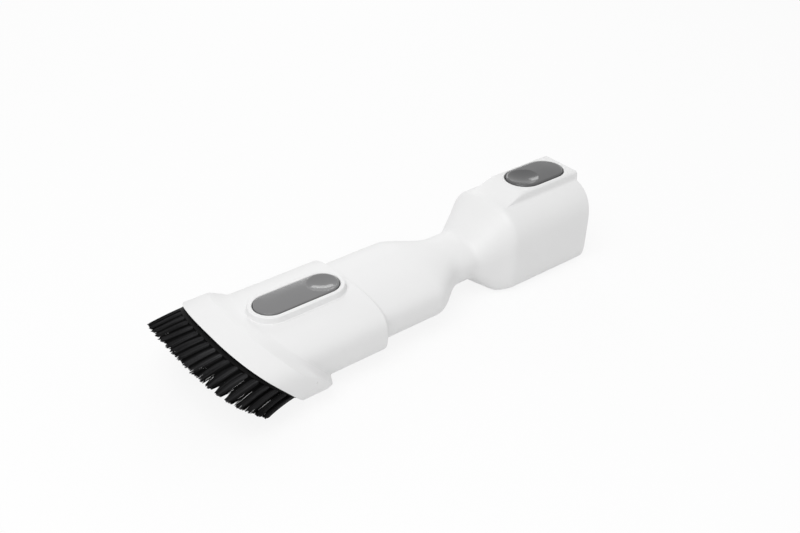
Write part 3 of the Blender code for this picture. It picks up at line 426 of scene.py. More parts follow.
class BrushNozzle(bpy.types.PropertyGroup):
    """All settings of the nozzle"""

    middle: length("Middle", 0.0879, "Middle of the model behind the brush lip")
    nozzle: PointerProperty(type=NozzleSizes)
    collar: PointerProperty(type=CollarSizes)
    button: PointerProperty(type=ButtonSizes)
    key: PointerProperty(type=KeySizes)
    socket: PointerProperty(type=SocketSizes)
    bristles: PointerProperty(type=BristleSizes)
    finishes: PointerProperty(type=Finishes)
    stage: PointerProperty(type=StageSizes)


# Sums that the sections share


def ease(t):
    t = min(max(t, 0), 1)
    return t * t * (3 - 2 * t)


def mix(a, b, part):
    return a + (b - a) * part


def steps(start, end, pieces):
    return [mix(start, end, k / pieces) for k in range(pieces + 1)]


def quarter(radius, pieces=5):
    """Insets from the side and drops from the end of a quarter round."""
    turns = steps(0, math.pi / 2, pieces)
    return [(radius * (1 - math.cos(t)), radius * (1 - math.sin(t))) for t in turns]


# Sections: half width, top, bottom, squareness above and below


def rounded(angle, half_width, top, bottom, top_power, bottom_power):
    """A point of a section at one angle, from +X over the top."""
    c, s = math.cos(angle), math.sin(angle)
    power = top_power if s >= 0 else bottom_power
    x = half_width * math.copysign(abs(c) ** (2 / power), c)
    z = (top + bottom) / 2 + (top - bottom) / 2 * math.copysign(abs(s) ** (2 / power), s)
    return x, z


def angle_of(x, z, half_width, top, bottom, top_power, bottom_power):
    """The angle of a point of a section, the reverse of rounded."""
    rise = (z - (top + bottom) / 2) / ((top - bottom) / 2)
    power = top_power if rise >= 0 else bottom_power
    c = math.copysign(min(abs(x) / half_width, 1) ** (power / 2), x)
    s = math.copysign(min(abs(rise), 1) ** (power / 2), rise)
    return math.atan2(s, c)


def height_over(x, half_width, top, bottom, top_power, bottom_power):
    """Height of a section's upper half over x."""
    across = min(abs(x) / half_width, 1)
    rise = (1 - across**top_power) ** (1 / top_power)
    return (top + bottom) / 2 + (top - bottom) / 2 * rise


def even_arc(section, start, end, points, dense=900):
    """Points evenly spaced along a section between two angles."""
    drawn = [rounded(mix(start, end, k / dense), *section) for k in range(dense + 1)]
    runs = [0.0]
    for (xa, za), (xb, zb) in zip(drawn, drawn[1:]):
        runs.append(runs[-1] + math.hypot(xb - xa, zb - za))
    found, k = [], 0
    for n in range(points):
        run = runs[-1] * n / (points - 1)
        while k < dense - 1 and runs[k + 1] < run:
            k += 1
        part = (run - runs[k]) / max(runs[k + 1] - runs[k], 1e-12)
        found.append(tuple(mix(a, b, part) for a, b in zip(drawn[k], drawn[k + 1])))
    return found


def both_sides(half):
    """A closed ring from its half on +X, which runs from top to bottom."""
    half[0], half[-1] = (0.0, half[0][1]), (0.0, half[-1][1])
    return half + [(-x, z) for x, z in reversed(half[1:-1])]


def plain_ring(section):
    points = TOP_POINTS + WALL_POINTS + SIDE_POINTS
    return both_sides(even_arc(section, math.pi / 2, -math.pi / 2, points))


def body_section(nozzle, y, inset=0.0):
    """Section of the tube, neck and housing at y, drawn in by inset."""
    narrowing = (y - nozzle.shoulder_start) / (nozzle.shoulder_end - nozzle.shoulder_start)

    def through(tube, neck, housing, last):
        return mix(mix(tube, neck, ease(narrowing)), housing, last)

    funnel = opening(nozzle, y, nozzle.funnel_start, nozzle.funnel_end)
    floor = opening(nozzle, y, nozzle.floor_start, nozzle.floor_end)
    half_width = through(
        nozzle.half_width, nozzle.neck_half_width, nozzle.housing_half_width, funnel
    )
    top = through(nozzle.top, nozzle.neck_top, nozzle.housing_top, funnel)
    bottom = through(nozzle.bottom, nozzle.neck_bottom, 0, floor)
    top_power = through(nozzle.power, nozzle.neck_power, nozzle.housing_power, funnel)
    bottom_power = through(nozzle.power, nozzle.neck_power, nozzle.floor_power, floor)
    return half_width - inset, top - inset, bottom + inset, top_power, bottom_power


def opening(nozzle, y, start, end):
    """How far the funnel has opened at y, even between two rounded ends."""
    t = min(max((y - start) / (end - start), 0), 1)
    ends = nozzle.funnel_round
    if t < ends:
        return t * t / (2 * ends * (1 - ends))
    if t > 1 - ends:
        return 1 - (1 - t) ** 2 / (2 * ends * (1 - ends))
    return (t - ends / 2) / (1 - ends)


def body_wall(nozzle, y):
    """Wall of the shell at y."""
    opened = opening(nozzle, y, nozzle.funnel_start, nozzle.funnel_end)
    return mix(nozzle.wall, nozzle.housing_wall, opened)


def wall_profile(nozzle):
    """Distances from the middle and falls of the platform's long side."""
    flat = nozzle.platform_half_width - nozzle.platform_edge
    draft = nozzle.platform_half_width + nozzle.platform_foot / 8
    foot = nozzle.platform_half_width + nozzle.platform_foot
    brow, wall = nozzle.platform_brow, nozzle.platform_wall
    third = WALL_POINTS // 3
    profile = []
    for angle in steps(0, math.pi / 2, third):
        out = flat + nozzle.platform_edge * math.sin(angle)
        profile.append((out, brow * (1 - math.cos(angle))))
    for part in steps(0, 1, third)[1:]:
        out = mix(nozzle.platform_half_width, draft, part)
        profile.append((out, mix(brow, wall, part)))
    for angle in steps(0, math.pi / 2, third)[1:]:
        out = mix(draft, foot, 1 - math.cos(angle))
        profile.append((out, mix(wall, 1, math.sin(angle))))
    return profile


def body_ring(nozzle, y, inset=0.0, lift=0.0):
    """A ring of the shell, lifted towards the level platform by a share."""
    section = body_section(nozzle, y, inset)
    half_width, top_power = section[0], section[3]
    profile = wall_profile(nozzle)
    narrow = min(1, nozzle.platform_share * half_width / profile[-1][0])
    spread = steps(0, profile[0][0], TOP_POINTS)[:-1]
    half = []
    for x, fall in [(x, 0.0) for x in spread] + profile:
        x = x * narrow
        z = height_over(x, *section)
        if lift:
            z = mix(mix(z, nozzle.platform_top - inset, lift), z, fall)
        half.append((x, z))
    start = math.acos(min((half[-1][0] / half_width) ** (top_power / 2), 1))
    half += even_arc(section, start, -math.pi / 2, SIDE_POINTS)[1:]
    return both_sides(half)


def lip_set_back(collar):
    """How far the slanted lip lies behind its foremost point, by height."""

    def set_back(z):
        return collar.slant * max(1 - z / collar.flange_top, 0) ** collar.slant_power

    return set_back


def flange_section(collar, inset=0.0):
    power = collar.flange_power
    return collar.flange_half_width - inset, collar.flange_top - inset, inset, power, power


def flange_ring(collar, y, inset=0.0):
    """A ring of the flange, behind its slanted lip."""
    return placed(plain_ring(flange_section(collar, inset)), y, lip_set_back(collar))


def collar_section(collar, inset=0.0):
    power = collar.power
    return collar.half_width - inset, collar.top - inset, collar.bottom + inset, power, power


def rim_lean(nozzle):
    """How far the rear rim lies behind or before its middle, by height."""

    def behind(z):
        return nozzle.lean * (z / nozzle.platform_top - 0.5)

    return behind


def placed(ring, y, set_back=None):
    """The points of a ring at y, or behind a slanted lip."""
    return [Vector((x, y + (set_back(z) if set_back else 0), z)) for x, z in ring]


# Mesh making


def first_ring(bm, points):
    """A closed ring of edges through points."""
    made = bmesh.ops.create_circle(bm, cap_ends=False, segments=len(points), radius=1)
    for vert, point in zip(made["verts"], points):
        vert.co = point
    return made["verts"]


def next_ring(bm, ring, points):
    """Extrudes a ring of edges and moves the new ring to its points."""
    edges = [bm.edges.get(pair) for pair in zip(ring, ring[1:] + ring[:1])]
    made = bmesh.ops.extrude_edge_only(bm, edges=edges)
    fresh = {item for item in made["geom"] if isinstance(item, bmesh.types.BMVert)}
    follow = []
    for vert, point in zip(ring, points):
        others = (edge.other_vert(vert) for edge in vert.link_edges)
        new = next(other for other in others if other in fresh)
        new.co = point
        follow.append(new)
    return follow


def skin(rings, closed=False):
    """A shape through rings of equal length, closed on itself or capped."""
    bm = bmesh.new()
    first = ring = first_ring(bm, rings[0])
    for points in rings[1:]:
        ring = next_ring(bm, ring, points)
    if closed:
        next_ring(bm, ring, rings[0])
        bmesh.ops.remove_doubles(bm, verts=bm.verts, dist=WELD)
    else:
        for end in (first, ring):
            loop = [bm.edges.get(pair) for pair in zip(end, end[1:] + end[:1])]
            bmesh.ops.contextual_create(bm, geom=loop)
    bmesh.ops.recalc_face_normals(bm, faces=bm.faces)
    return bm


def as_object(name, bm, middle):
    """An object of the shape, moved into the frame of the packed model."""
    bmesh.ops.translate(bm, verts=bm.verts, vec=(0, -middle, 0))
    mesh = bpy.data.meshes.new(name)
    bm.to_mesh(mesh)
    bm.free()
    made = bpy.data.objects.new(name, mesh)
    bpy.context.scene.collection.objects.link(made)
    return made


def as_piece(name, bm, middle, material, body, slot, *nodes, sharp=38):
    """A finished piece that rides on its body and stands for its nodes."""
    made = as_object(name, bm, middle)
    made.data.materials.append(material)
    soften(made, sharp)
    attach(made, body)
    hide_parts(*nodes)
    return made


def soften(piece, sharp=38):
    """Smooth shading, with edges over the angle kept sharp."""
    piece.data.shade_smooth()
    piece.data.set_sharp_from_angle(angle=math.radians(sharp))


def combine(piece, middle, *changes):
    """Joins shapes to a piece or cuts them from it, in order."""
    tools = []
    for order, (operation, bm) in enumerate(changes):
        tool = as_object(f"tool_{order}", bm, middle)
        tool.data.materials.append(piece.data.materials[0])
        modifier = piece.modifiers.new(tool.name, "BOOLEAN")
        modifier.operation = operation
        modifier.solver = "EXACT"
        modifier.object = tool
        tools.append(tool)
    graph = bpy.context.evaluated_depsgraph_get()
    result = bpy.data.meshes.new_from_object(piece.evaluated_get(graph))
    piece.modifiers.clear()
    old, name = piece.data, piece.data.name
    piece.data = result
    for mesh in [old] + [tool.data for tool in tools]:
        bpy.data.meshes.remove(mesh)
    result.name = name
    soften(piece)
    weighted = piece.modifiers.new("even normals", "WEIGHTED_NORMAL")
    weighted.keep_sharp = True


def pill(half_width, start, end, arc_points=30, straight_points=16):
    """A pill outline whose length runs along Y."""
    points = []
    run = end - start - 2 * half_width
    for side, centre in ((1, end - half_width), (-1, start + half_width)):
        for k in range(arc_points):
            angle = math.pi * k / arc_points
            x = side * half_width * math.cos(angle)
            points.append((x, centre + side * half_width * math.sin(angle)))
        for k in range(straight_points):
            points.append((-side * half_width, centre - side * run * k / straight_points))
    return points


def pill_shape(levels, half_width, start, end):
    """A pill through levels, each with its inset and its height."""
    rings = []
    for inset, z in levels:
        outline = pill(half_width - inset, start + inset, end - inset)
        rings.append([Vector((x, y, z)) for x, y in outline])
    return skin(rings)


def window_shape(cap, low, top):
    """The opening round a rocker cap, with a small round at its upper rim."""
    levels = [(0, low)]
    levels += [(-inset, top - drop) for inset, drop in quarter(cap.rim_edge, 4)]
    levels.append((-cap.rim_edge, top + CUT_REACH))
    end = cap.start + cap.size + cap.gap
    return pill_shape(levels, cap.half_width + cap.gap, cap.start - cap.gap, end)


def cap_shape(sizes):
    """A rocker cap: a pill with a round rim and a slight crown."""
    levels = [(0, sizes.top - sizes.height)]
    levels += [(inset, sizes.top - drop) for inset, drop in quarter(sizes.edge, 7)]
    for part in CROWN_PARTS:
        rise = sizes.crown * math.sin(part * math.pi / 2)
        levels.append((mix(sizes.edge, sizes.half_width, part), sizes.top + rise))
    return pill_shape(levels, sizes.half_width, sizes.start, sizes.start + sizes.size)


def dish_shape(radius, depth, centre, rings=240):
    """A ball that cuts a shallow round hollow."""
    ball = (radius**2 + depth**2) / (2 * depth)
    bm = bmesh.new()
    middle = Vector(centre) + Vector((0, 0, ball - depth))
    bmesh.ops.create_uvsphere(
        bm, u_segments=120, v_segments=rings, radius=ball, matrix=Matrix.Translation(middle)
    )
    return bm


def block_shape(low, high):
    """A block between two corners."""
    bm = bmesh.new()
    low, high = Vector(low), Vector(high)
    size = Matrix.Diagonal((*(high - low), 1))
    bmesh.ops.create_cube(bm, size=1, matrix=Matrix.Translation((low + high) / 2) @ size)
    return bm


def rod_shape(radius, half_length, centre, axis="Y", sides=32):
    """A rod across the tool, or upright."""
    bm = bmesh.new()
    lying = Matrix.Rotation(math.pi / 2, 4, axis) if axis != "Z" else Matrix()
    bmesh.ops.create_cone(
        bm,
        cap_ends=True,
        segments=sides,
        radius1=radius,
        radius2=radius,
        depth=2 * half_length,
        matrix=Matrix.Translation(centre) @ lying,
    )
    return bm


# Materials


def moulded_finish():
    """Group for mouldings: a faint cloud in the colour, uneven gloss and fine grain."""
    found = bpy.data.node_groups.get("moulded_finish")
    if found:
        return found
    group = bpy.data.node_groups.new("moulded_finish", "ShaderNodeTree")
    ports = group.interface
    ports.new_socket("Vector", in_out="INPUT", socket_type="NodeSocketVector")
    ports.new_socket("Colour", in_out="INPUT", socket_type="NodeSocketColor")
    for label in ("Cloud", "Cloud Scale", "Grain Scale", "Gloss", "Gloss Spread"):
        ports.new_socket(label, in_out="INPUT", socket_type="NodeSocketFloat")
    ports.new_socket("Colour", in_out="OUTPUT", socket_type="NodeSocketColor")
    ports.new_socket("Roughness", in_out="OUTPUT", socket_type="NodeSocketFloat")
    ports.new_socket("Height", in_out="OUTPUT", socket_type="NodeSocketFloat")
    nodes, links = group.nodes, group.links
    given = nodes.new("NodeGroupInput")
    result = nodes.new("NodeGroupOutput")
    cloud = nodes.new("ShaderNodeTexNoise")
    cloud.inputs["Detail"].default_value = 3
    grain = nodes.new("ShaderNodeTexNoise")
    grain.inputs["Detail"].default_value = 2
    centred = nodes.new("ShaderNodeMath")
    centred.operation = "SUBTRACT"
    centred.inputs[1].default_value = 0.5
    tint = nodes.new("ShaderNodeMath")
    tint.operation = "MULTIPLY_ADD"
    tint.inputs[2].default_value = 1
    tinted = nodes.new("ShaderNodeVectorMath")
    tinted.operation = "SCALE"
    gloss = nodes.new("ShaderNodeMath")
    gloss.operation = "MULTIPLY_ADD"
    for source, target in (
        (given.outputs["Vector"], cloud.inputs["Vector"]),
        (given.outputs["Cloud Scale"], cloud.inputs["Scale"]),
        (given.outputs["Vector"], grain.inputs["Vector"]),
        (given.outputs["Grain Scale"], grain.inputs["Scale"]),
        (cloud.outputs["Fac"], centred.inputs[0]),
        (centred.outputs[0], tint.inputs[0]),
        (given.outputs["Cloud"], tint.inputs[1]),
        (given.outputs["Colour"], tinted.inputs[0]),
        (tint.outputs[0], tinted.inputs["Scale"]),
        (tinted.outputs["Vector"], result.inputs["Colour"]),
        (centred.outputs[0], gloss.inputs[0]),
        (given.outputs["Gloss Spread"], gloss.inputs[1]),
        (given.outputs["Gloss"], gloss.inputs[2]),
        (gloss.outputs[0], result.inputs["Roughness"]),
        (grain.outputs["Fac"], result.inputs["Height"]),
    ):
        links.new(source, target)
    return group


def moulding(name, base, gloss, spread=0.1, cloud=0.03, cloud_scale=55, grain=2600, depth=8e-6):
    """A material with its own cloud, gloss and grain, made once."""
    found = bpy.data.materials.get(name)
    if found:
        return found
    material = bpy.data.materials.new(name)
    material.use_nodes = True
    nodes, links = material.node_tree.nodes, material.node_tree.links
    shader = nodes["Principled BSDF"]
    where = nodes.new("ShaderNodeTexCoord")
    finish = nodes.new("ShaderNodeGroup")
    finish.node_tree = moulded_finish()
    finish.inputs["Colour"].default_value = base
    finish.inputs["Cloud"].default_value = cloud
    finish.inputs["Cloud Scale"].default_value = cloud_scale
    finish.inputs["Grain Scale"].default_value = grain
    finish.inputs["Gloss"].default_value = gloss
    finish.inputs["Gloss Spread"].default_value = spread
    bump = nodes.new("ShaderNodeBump")
    bump.inputs["Distance"].default_value = depth
    links.new(where.outputs["Object"], finish.inputs["Vector"])
    links.new(finish.outputs["Colour"], shader.inputs["Base Color"])
    links.new(finish.outputs["Roughness"], shader.inputs["Roughness"])
    links.new(finish.outputs["Height"], bump.inputs["Height"])
    links.new(bump.outputs["Normal"], shader.inputs["Normal"])
    return material


def white_plastic(every):
    return moulding("shell_white", every.finishes.white, gloss=0.46)


def lining_plastic(every):
    return moulding("lining_white", every.finishes.lining, gloss=0.5)


def button_plastic(every):
    return moulding("button_satin", every.finishes.button, gloss=0.10, spread=0.04, cloud=0.05)


def key_plastic(every):
    return moulding("key_satin", every.finishes.key, gloss=0.15, spread=0.05, cloud=0.05)


def latch_plastic(every):
    return moulding("latch_satin", every.finishes.latch, gloss=0.4, cloud=0.08)


def seal_rubber(every):
    return moulding("seal_matt", every.finishes.rubber, gloss=0.75, cloud=0.15, depth=2e-5)


def backing_plastic(every):
    made = moulding("backing_matt", every.finishes.backing, gloss=0.6, cloud=0.2, depth=2e-5)
    made.node_tree.nodes["Principled BSDF"].inputs["Specular IOR Level"].default_value = 0.1
    return made


def steel(every):
    made = moulding(
        "drawn_steel",
        every.finishes.steel,
        gloss=0.28,
        spread=0.2,
        cloud=0.12,
        cloud_scale=400,
        grain=5200,
        depth=4e-6,
    )
    made.node_tree.nodes["Principled BSDF"].inputs["Metallic"].default_value = 1
    return made


def bristle_nylon(every):
    """Nylon in which each bristle has its own tone, with painted shade on the lower rows, the
    outer bristles and the +X end.
    """
    if bpy.data.materials.get("bristle_nylon_black"):
        return bpy.data.materials["bristle_nylon_black"]
    made = moulding(
        "bristle_nylon_black", every.finishes.bristle, gloss=0.45, cloud=0.3, cloud_scale=300
    )
    nodes, links = made.node_tree.nodes, made.node_tree.links
    shader = nodes["Principled BSDF"]
    shader.inputs["Specular IOR Level"].default_value = 0.04
    # The tone attribute mixes random tone with painted shade
    tone = nodes.new("ShaderNodeAttribute")
    tone.attribute_name = "tone"
    toned = nodes.new("ShaderNodeVectorMath")
    toned.operation = "SCALE"
    finish = next(node for node in nodes if node.type == "GROUP")
    links.new(finish.outputs["Colour"], toned.inputs[0])
    links.new(tone.outputs["Fac"], toned.inputs["Scale"])
    links.new(toned.outputs["Vector"], shader.inputs["Base Color"])
    return made


# Operators


class MESH_OT_nozzle_body(bpy.types.Operator):
    """Tube, neck and connector housing in one moulding"""

    bl_idname = "mesh.nozzle_body"
    bl_label = "Body moulding"

    def execute(self, context):
        every = context.scene.brush_nozzle
        nozzle, key = every.nozzle, every.key
        slanted = lip_set_back(every.collar)
        made = as_piece(
            "body_moulding",
            skin(self.outside(every, slanted) + self.inside(every, slanted), closed=True),
            every.middle,
            white_plastic(every),
            "tool_body",
            "white_plastic",
            "body_shell",
        )
        window_low = nozzle.housing_top - 2 * nozzle.housing_wall
        pin_place = (0, key.pin_place, key.pin_height)
        track_low = (-nozzle.track_half_width, nozzle.track_start, nozzle.track_floor)
        track_high = (nozzle.track_half_width, nozzle.track_end, nozzle.platform_top)
        gap = every.socket.seat_gap
        combine(
            made,
            every.middle,
            ("DIFFERENCE", window_shape(key, window_low, nozzle.platform_top)),
            ("DIFFERENCE", rod_shape(key.pin + gap, key.pin_reach + gap, pin_place)),
            ("DIFFERENCE", block_shape(track_low, track_high)),
        )
        return {"FINISHED"}

    def outside(self, every, slanted):
        """Rings of the outer skin, from the mouth to the rear rim."""
        nozzle = every.nozzle

        def ring(y, inset=0.0, leaning=None):
            part = (y - nozzle.ramp_start) / (nozzle.ramp_end - nozzle.ramp_start)
            return placed(body_ring(nozzle, y, inset, ease(part)), y, leaning)

        rings = []
        for inset, drop in reversed(quarter(nozzle.edge)):
            mouth = body_ring(nozzle, nozzle.recess, inset)
            rings.append(placed(mouth, nozzle.recess + drop, slanted))
        rings.append(ring(nozzle.recess + every.collar.slant))
        rings += map(ring, steps(nozzle.shoulder_start, nozzle.shoulder_end, SHOULDER_RINGS))
        rings += map(ring, steps(nozzle.floor_start, nozzle.funnel_end, FUNNEL_RINGS))
        rings += map(ring, steps(nozzle.funnel_end, nozzle.ramp_end, RAMP_RINGS)[1:])
        rear = nozzle.rear - nozzle.lean
        rings += map(ring, steps(nozzle.ramp_end, rear, HOUSING_RINGS)[1:-1])
        for inset, drop in quarter(nozzle.edge):
            rings.append(ring(nozzle.rear - drop, inset, rim_lean(nozzle)))
        return rings

    def inside(self, every, slanted):
        """Rings of the inner skin, from the rear rim to the mouth."""
        nozzle = every.nozzle

        def ring(y, wall, leaning=None):
            return placed(body_ring(nozzle, y, wall), y, leaning)

        seat_wall = nozzle.housing_wall + nozzle.seat_step
        rings = [
            ring(nozzle.rear, nozzle.housing_wall, rim_lean(nozzle)),
            ring(nozzle.seat, nozzle.housing_wall),
            ring(nozzle.seat, seat_wall),
            ring(nozzle.funnel_end, seat_wall),
        ]
        funnel = steps(nozzle.floor_start, nozzle.funnel_end, INNER_FUNNEL_RINGS)[:-1]
        shoulder = steps(nozzle.shoulder_start, nozzle.shoulder_end, INNER_SHOULDER_RINGS)
        rings += [ring(y, body_wall(nozzle, y)) for y in reversed(funnel)]
        rings += [ring(y, nozzle.wall) for y in reversed(shoulder)]
        rings.append(ring(nozzle.recess + every.collar.slant, nozzle.wall))
        mouth = body_ring(nozzle, nozzle.recess, nozzle.wall)
        rings.append(placed(mouth, nozzle.recess, slanted))
        return rings


class MESH_OT_socket_lining(bpy.types.Operator):
    """Lining of the connector's socket, with its end plates and its latch slot"""

    bl_idname = "mesh.nozzle_socket_lining"
    bl_label = "Socket lining"

    def execute(self, context):
        every = context.scene.brush_nozzle
        nozzle, socket = every.nozzle, every.socket
        front = nozzle.seat + socket.seat_gap
        rear = nozzle.rear - nozzle.lean / 2 - socket.recess
        throat_end = front + socket.throat_length
        wall = socket.wall

        def tube(y, grow=0.0):
            return placed(plain_ring(socket_section(socket, grow)), y)

        def plate(y):
            section = body_section(nozzle, y, nozzle.housing_wall + socket.seat_gap)
            return placed(plain_ring(section), y)

        rings = [
            tube(rear - socket.mouth_edge),
            tube(rear, socket.mouth_edge),
            plate(rear),
            plate(rear - socket.plate),
            tube(rear - socket.plate, wall),
            tube(front + socket.plate, wall),
            plate(front + socket.plate),
            plate(front),
            tube(front, -socket.throat),
            tube(throat_end, -socket.throat),
            tube(throat_end),
        ]
        made = as_piece(
            "socket_lining",
            skin(rings, closed=True),
            every.middle,
            lining_plastic(every),
            "tool_body",
            "sleeve_plastic",
            "socket_sleeve",
        )
        outer_top = socket.top + wall
        slot_low = (-socket.slot_half_width, socket.slot_start, socket.top - 2 * wall)
        slot_high = (socket.slot_half_width, socket.slot_end, outer_top + wall)
        peg_place = (0, socket.coil_place, outer_top + (socket.peg - wall) / 2)
        combine(
            made,
            every.middle,
            ("DIFFERENCE", block_shape(slot_low, slot_high)),
            ("UNION", rod_shape(socket.peg, (wall + socket.peg) / 2, peg_place, "Z")),
        )
        return {"FINISHED"}


def socket_section(socket, grow=0.0):
    power = socket.power
    return socket.half_width + grow, socket.top + grow, socket.bottom - grow, power, power


class MESH_OT_seal_ring(bpy.types.Operator):
    """Rubber ring at the end of the socket, with a lip towards the pipe"""

    bl_idname = "mesh.nozzle_seal_ring"
    bl_label = "Seal ring"

    def execute(self, context):
        every = context.scene.brush_nozzle
        socket = every.socket
        start = every.nozzle.seat + 2 * socket.seat_gap + socket.throat_length
        end = start + socket.ring_depth
        outer, inner = -socket.seat_gap, -socket.ring_width
        profile = [
            (start, outer),
            (start, inner),
            ((start + end) / 2, inner),
            (mix(start, end, socket.ring_lip_start), inner - socket.ring_lip / 2),
            (end, inner - socket.ring_lip),
            (end, inner),
            (end, outer),
        ]
        rings = [placed(plain_ring(socket_section(socket, grow)), y) for y, grow in profile]
        as_piece(
            "seal_ring",
            skin(rings, closed=True),
            every.middle,
            seal_rubber(every),
            "tool_body",
            "seal_rubber",
            "socket_seal",
        )
        return {"FINISHED"}


class MESH_OT_release_key(bpy.types.Operator):
    """Grey release key with its finger dish"""

    bl_idname = "mesh.nozzle_release_key"
    bl_label = "Release key"

    def execute(self, context):
        every = context.scene.brush_nozzle
        key = every.key
        made = as_piece(
            "release_key_cap",
            cap_shape(key),
            every.middle,
            key_plastic(every),
            "release_rocker",
            "key_grey",
            "release_key",
        )
        centre = (0, key.start + key.dish_setback, key.top + key.crown / 2)
        pin_place = (0, key.pin_place, key.pin_height)
        bore = rod_shape(key.pin + every.socket.seat_gap, 2 * key.half_width, pin_place)
        combine(
            made,
            every.middle,
            ("DIFFERENCE", dish_shape(key.dish_radius, key.dish_depth, centre)),
            ("DIFFERENCE", bore),
        )
        return {"FINISHED"}


class MESH_OT_springs(bpy.types.Operator):
    """Return coil under the release key and leaf spring under the collar button"""

    bl_idname = "mesh.nozzle_springs"
    bl_label = "Springs"

    def execute(self, context):
        every = context.scene.brush_nozzle
        self.coil(context, every)
        self.leaf(every)
        return {"FINISHED"}

    def coil(self, context, every):
        """The coil that lifts the front end of the release key."""
        socket, key = every.socket, every.key
        low = socket.top + socket.wall + socket.seat_gap + socket.coil_wire
        high = key.top - key.height - socket.seat_gap - socket.coil_wire
        curve = bpy.data.curves.new("return_coil", "CURVE")
        curve.dimensions = "3D"
        curve.bevel_depth = socket.coil_wire
        curve.bevel_resolution = 3
        curve.use_fill_caps = True
        points = TURN_PIECES * socket.coil_turns
        spline = curve.splines.new("POLY")
        spline.points.add(points)
        for k, point in enumerate(spline.points):
            angle = 2 * math.pi * k / TURN_PIECES
            x = socket.coil_radius * math.cos(angle)
            y = socket.coil_place + socket.coil_radius * math.sin(angle)
            point.co = (x, y, mix(low, high, k / points), 1)
        drawn = bpy.data.objects.new("return_coil_path", curve)
        bpy.context.scene.collection.objects.link(drawn)
        graph = context.evaluated_depsgraph_get()
        mesh = bpy.data.meshes.new_from_object(drawn.evaluated_get(graph))
        bpy.data.objects.remove(drawn)
        bpy.data.curves.remove(curve)
        bm = bmesh.new()
        bm.from_mesh(mesh)
        bpy.data.meshes.remove(mesh)
        bmesh.ops.remove_doubles(bm, verts=bm.verts, dist=WELD)
        bmesh.ops.recalc_face_normals(bm, faces=bm.faces)
        coil = as_piece(
            "return_coil",
            bm,
            every.middle,
            steel(every),
            "tool_body",
            "steel",
            "release_spring",
            sharp=60,
        )
        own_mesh(coil)

    def leaf(self, every):
        """The arched strip that lifts the rear end of the collar button."""
        socket = every.socket
        bm = bmesh.new()
        bmesh.ops.create_grid(bm, x_segments=LEAF_PIECES, y_segments=2, size=1)
        for vert in bm.verts:
            rise = socket.leaf_rise * (1 - vert.co.x**2)
            vert.co = (
                socket.leaf_reach * vert.co.x,
                socket.leaf_start + socket.leaf_size * (vert.co.y + 1) / 2,
                socket.leaf_low + rise,
            )
        bmesh.ops.solidify(bm, geom=bm.faces, thickness=-socket.leaf_thickness)
        bmesh.ops.recalc_face_normals(bm, faces=bm.faces)
        leaf = as_piece(
            "leaf_arch",
            bm,
            every.middle,
            steel(every),
            "brush_carriage",
            "steel",
            "button_leaf_spring",
        )
        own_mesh(leaf)


class MESH_OT_inner_parts(bpy.types.Operator):
    """Finish of the latch and the pivot pin, whose shapes come from the packed model"""

    bl_idname = "mesh.nozzle_inner_parts"
    bl_label = "Latch and pin finish"

    def execute(self, context):
        every = context.scene.brush_nozzle
        for name, material in (
            ("release_latch", latch_plastic(every)),
            ("release_pin", steel(every)),
        ):
            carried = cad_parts[name]
            for slot in carried.material_slots:
                slot.material = material
        return {"FINISHED"}


